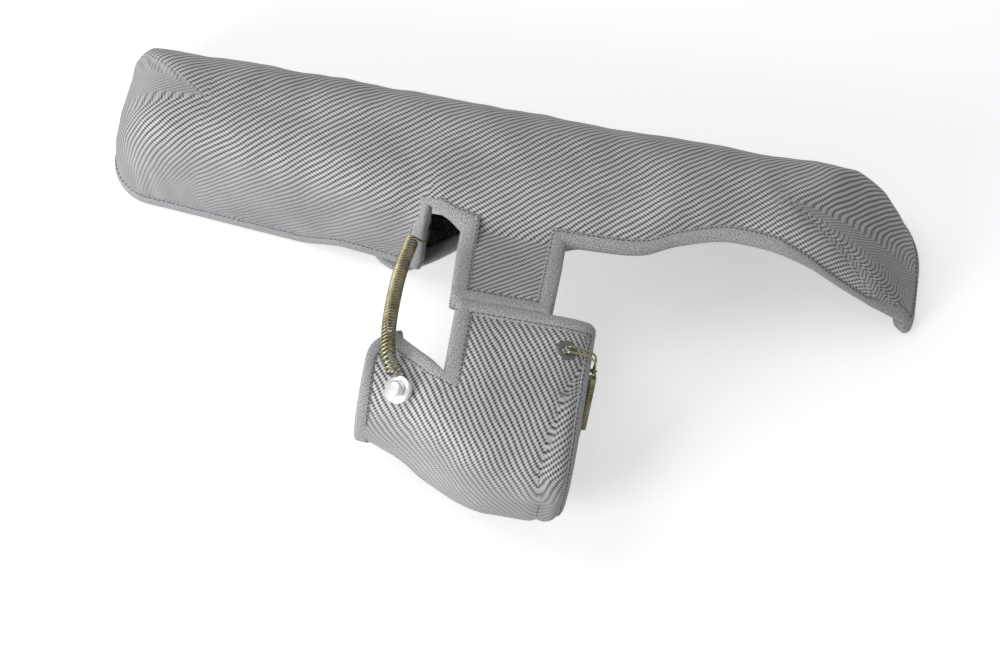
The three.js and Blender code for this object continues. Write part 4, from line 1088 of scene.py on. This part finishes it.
washer_hole = rivet_radius + fit_gap
disc_low = fit_gap + washer_thickness + hook_space
disc_high = disc_low + washer_thickness
base_ring = washer_profile(washer_hole, button_disc_radius - 1, fit_gap, fit_gap + washer_thickness)
turned_piece("button_base", "base_washer", at_button, base_ring)
disc_ring = washer_profile(washer_hole, button_disc_radius, disc_low, disc_high)
turned_piece("button_disc", "button_washer", at_button, disc_ring)
head_low = disc_high + fit_gap
back_seat = seat_of("back_washer", button_axis, 0)
back_level = float(np.dot(back_seat - button_seat, button_axis))
rivet_foot = [(0, -3.0), (2.4, -3.0), (2.86, -2.5), (3.52, -1.5), (rivet_radius, -1.3)]
dome_start, dome_round, dome_rise = 3.0, 1.6, 1.9
rivet_head = [(rivet_radius, 0), (button_head_radius - 0.3, 0), (button_head_radius, 0.3),
              (button_head_radius, dome_start)]
rivet_head += [(button_head_radius - dome_round + dome_round * math.cos(a),
                dome_start + dome_rise * math.sin(a)) for a in np.radians([20, 40, 60, 80])]
rivet_head += [(1.5, 4.96), (0, button_head_height)]
rivet_profile = ([(r, back_level + level) for r, level in rivet_foot]
                 + [(r, head_low + level) for r, level in rivet_head])
turned_piece("button_head", "button_rivet", at_button, rivet_profile)
for hidden in ("back_washer", "upper_anchor"):
    for held in bpy.data.objects[hidden].material_slots:
        held.material = plated_steel


# Side catch: a plated eyelet near the drum's right corner, a wire bail through it and over the rim,
# and a short spring from the bail down to the rear edge.
eyelet_radius, eyelet_flange, eyelet_bore, eyelet_clinch = 3.4, 6.0, 2.6, 4.2
eyelet_grey = "#8b8b89"
# Darker steel: the same plating in a plain darker grey and a little rougher, so it is darker than the button.
darker_steel, tree = new_material("darker_plated_steel")
plating = add(tree, "ShaderNodeBsdfPrincipled",
              {"Base Color": srgb(eyelet_grey), "Metallic": 1.0, "Roughness": 0.34})
add(tree, "ShaderNodeOutputMaterial", {"Surface": plating.outputs[0]})
eyelet_place = middle_of("side_eyelet")
nearest = np.argmin(np.linalg.norm(drum.points.reshape(-1, 3) - eyelet_place - (0, 0, 5), axis=1))
eyelet_axis = unit(drum.normals.reshape(-1, 3)[nearest])
eyelet_seat = seat_of("side_eyelet", eyelet_axis, fit_gap + washer_thickness)
at_eyelet = seat_frame(eyelet_seat, eyelet_axis, eyelet_seat + np.array([20.0, 0, 0]))
eyelet_back = -pad_thickness - 0.5
front = fit_gap + washer_thickness
eyelet_foot = eyelet_back - 0.8
eyelet_profile = [(eyelet_bore, front - 0.2), (eyelet_bore + 0.3, front), (eyelet_flange - 0.5, front),
                  (eyelet_flange, front - 0.4), (eyelet_flange, fit_gap), (eyelet_radius, fit_gap),
                  (eyelet_radius, eyelet_back), (eyelet_clinch, eyelet_back), (eyelet_clinch, eyelet_foot),
                  (eyelet_bore, eyelet_foot), (eyelet_bore, front - 0.2)]
turned_piece("corner_eyelet", "side_eyelet", at_eyelet, eyelet_profile, darker_steel)
bail_half = 1.7
bail_reach, bail_drop = 18.8, -16
bail_route = [(0, eyelet_back - 3), (0, -4), (0.6, 2), (4, 3.2), (12, 2.6), (16.6, -1.5), (18.5, -8),
              (bail_reach, bail_drop)]


def bail_side(side):
    return [at_eyelet(0, side * 5, eyelet_back - 3.4)] + [
        at_eyelet(f, side * bail_half, n) for f, n in bail_route]


bail_line = smooth_line(bail_side(-1) + bail_side(1)[::-1], 6)
round_wire("corner_bail", "side_bail", bail_line, side_wire_radius)
side_low = np.array(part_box("side_spring")[0]) / MM
bail_bar = at_eyelet(bail_reach, 0, bail_drop)
rim_y = side_low[1] + side_coil_radius + side_wire_radius
hook_top = side_low[2] + 6 + side_wire_radius
side_top = bail_bar + np.array([0, -1.5, -5.5])
side_bottom = np.array([bail_bar[0], rim_y, hook_top + 16])
side_windings = coil_line(smooth_line([side_top, side_bottom], 40), side_coil_radius, side_coil_pitch)
loop_radius = 1.8
upper_loop = [bail_bar + loop_radius * np.array([math.cos(a), 0, math.sin(a)])
              for a in np.radians([250, 190, 130, 70, 10, -50])]
rim_inside = side_low[0] + side_wire_radius
lower_catch = [(bail_bar[0], rim_y, hook_top + 13), (bail_bar[0], rim_y, hook_top + 1.5),
               (bail_bar[0] - 1.5, rim_y, hook_top), (rim_inside + 1.5, rim_y, hook_top),
               (rim_inside, rim_y, hook_top - 1.5), (rim_inside, rim_y, hook_top - 5.8)]
side_line = np.vstack([smooth_line(upper_loop + [side_windings[0]], 5)[:-1], side_windings,
                       smooth_line([side_windings[-1]] + lower_catch, 5)[1:]])
round_wire("corner_coil", "side_spring", side_line, side_wire_radius)
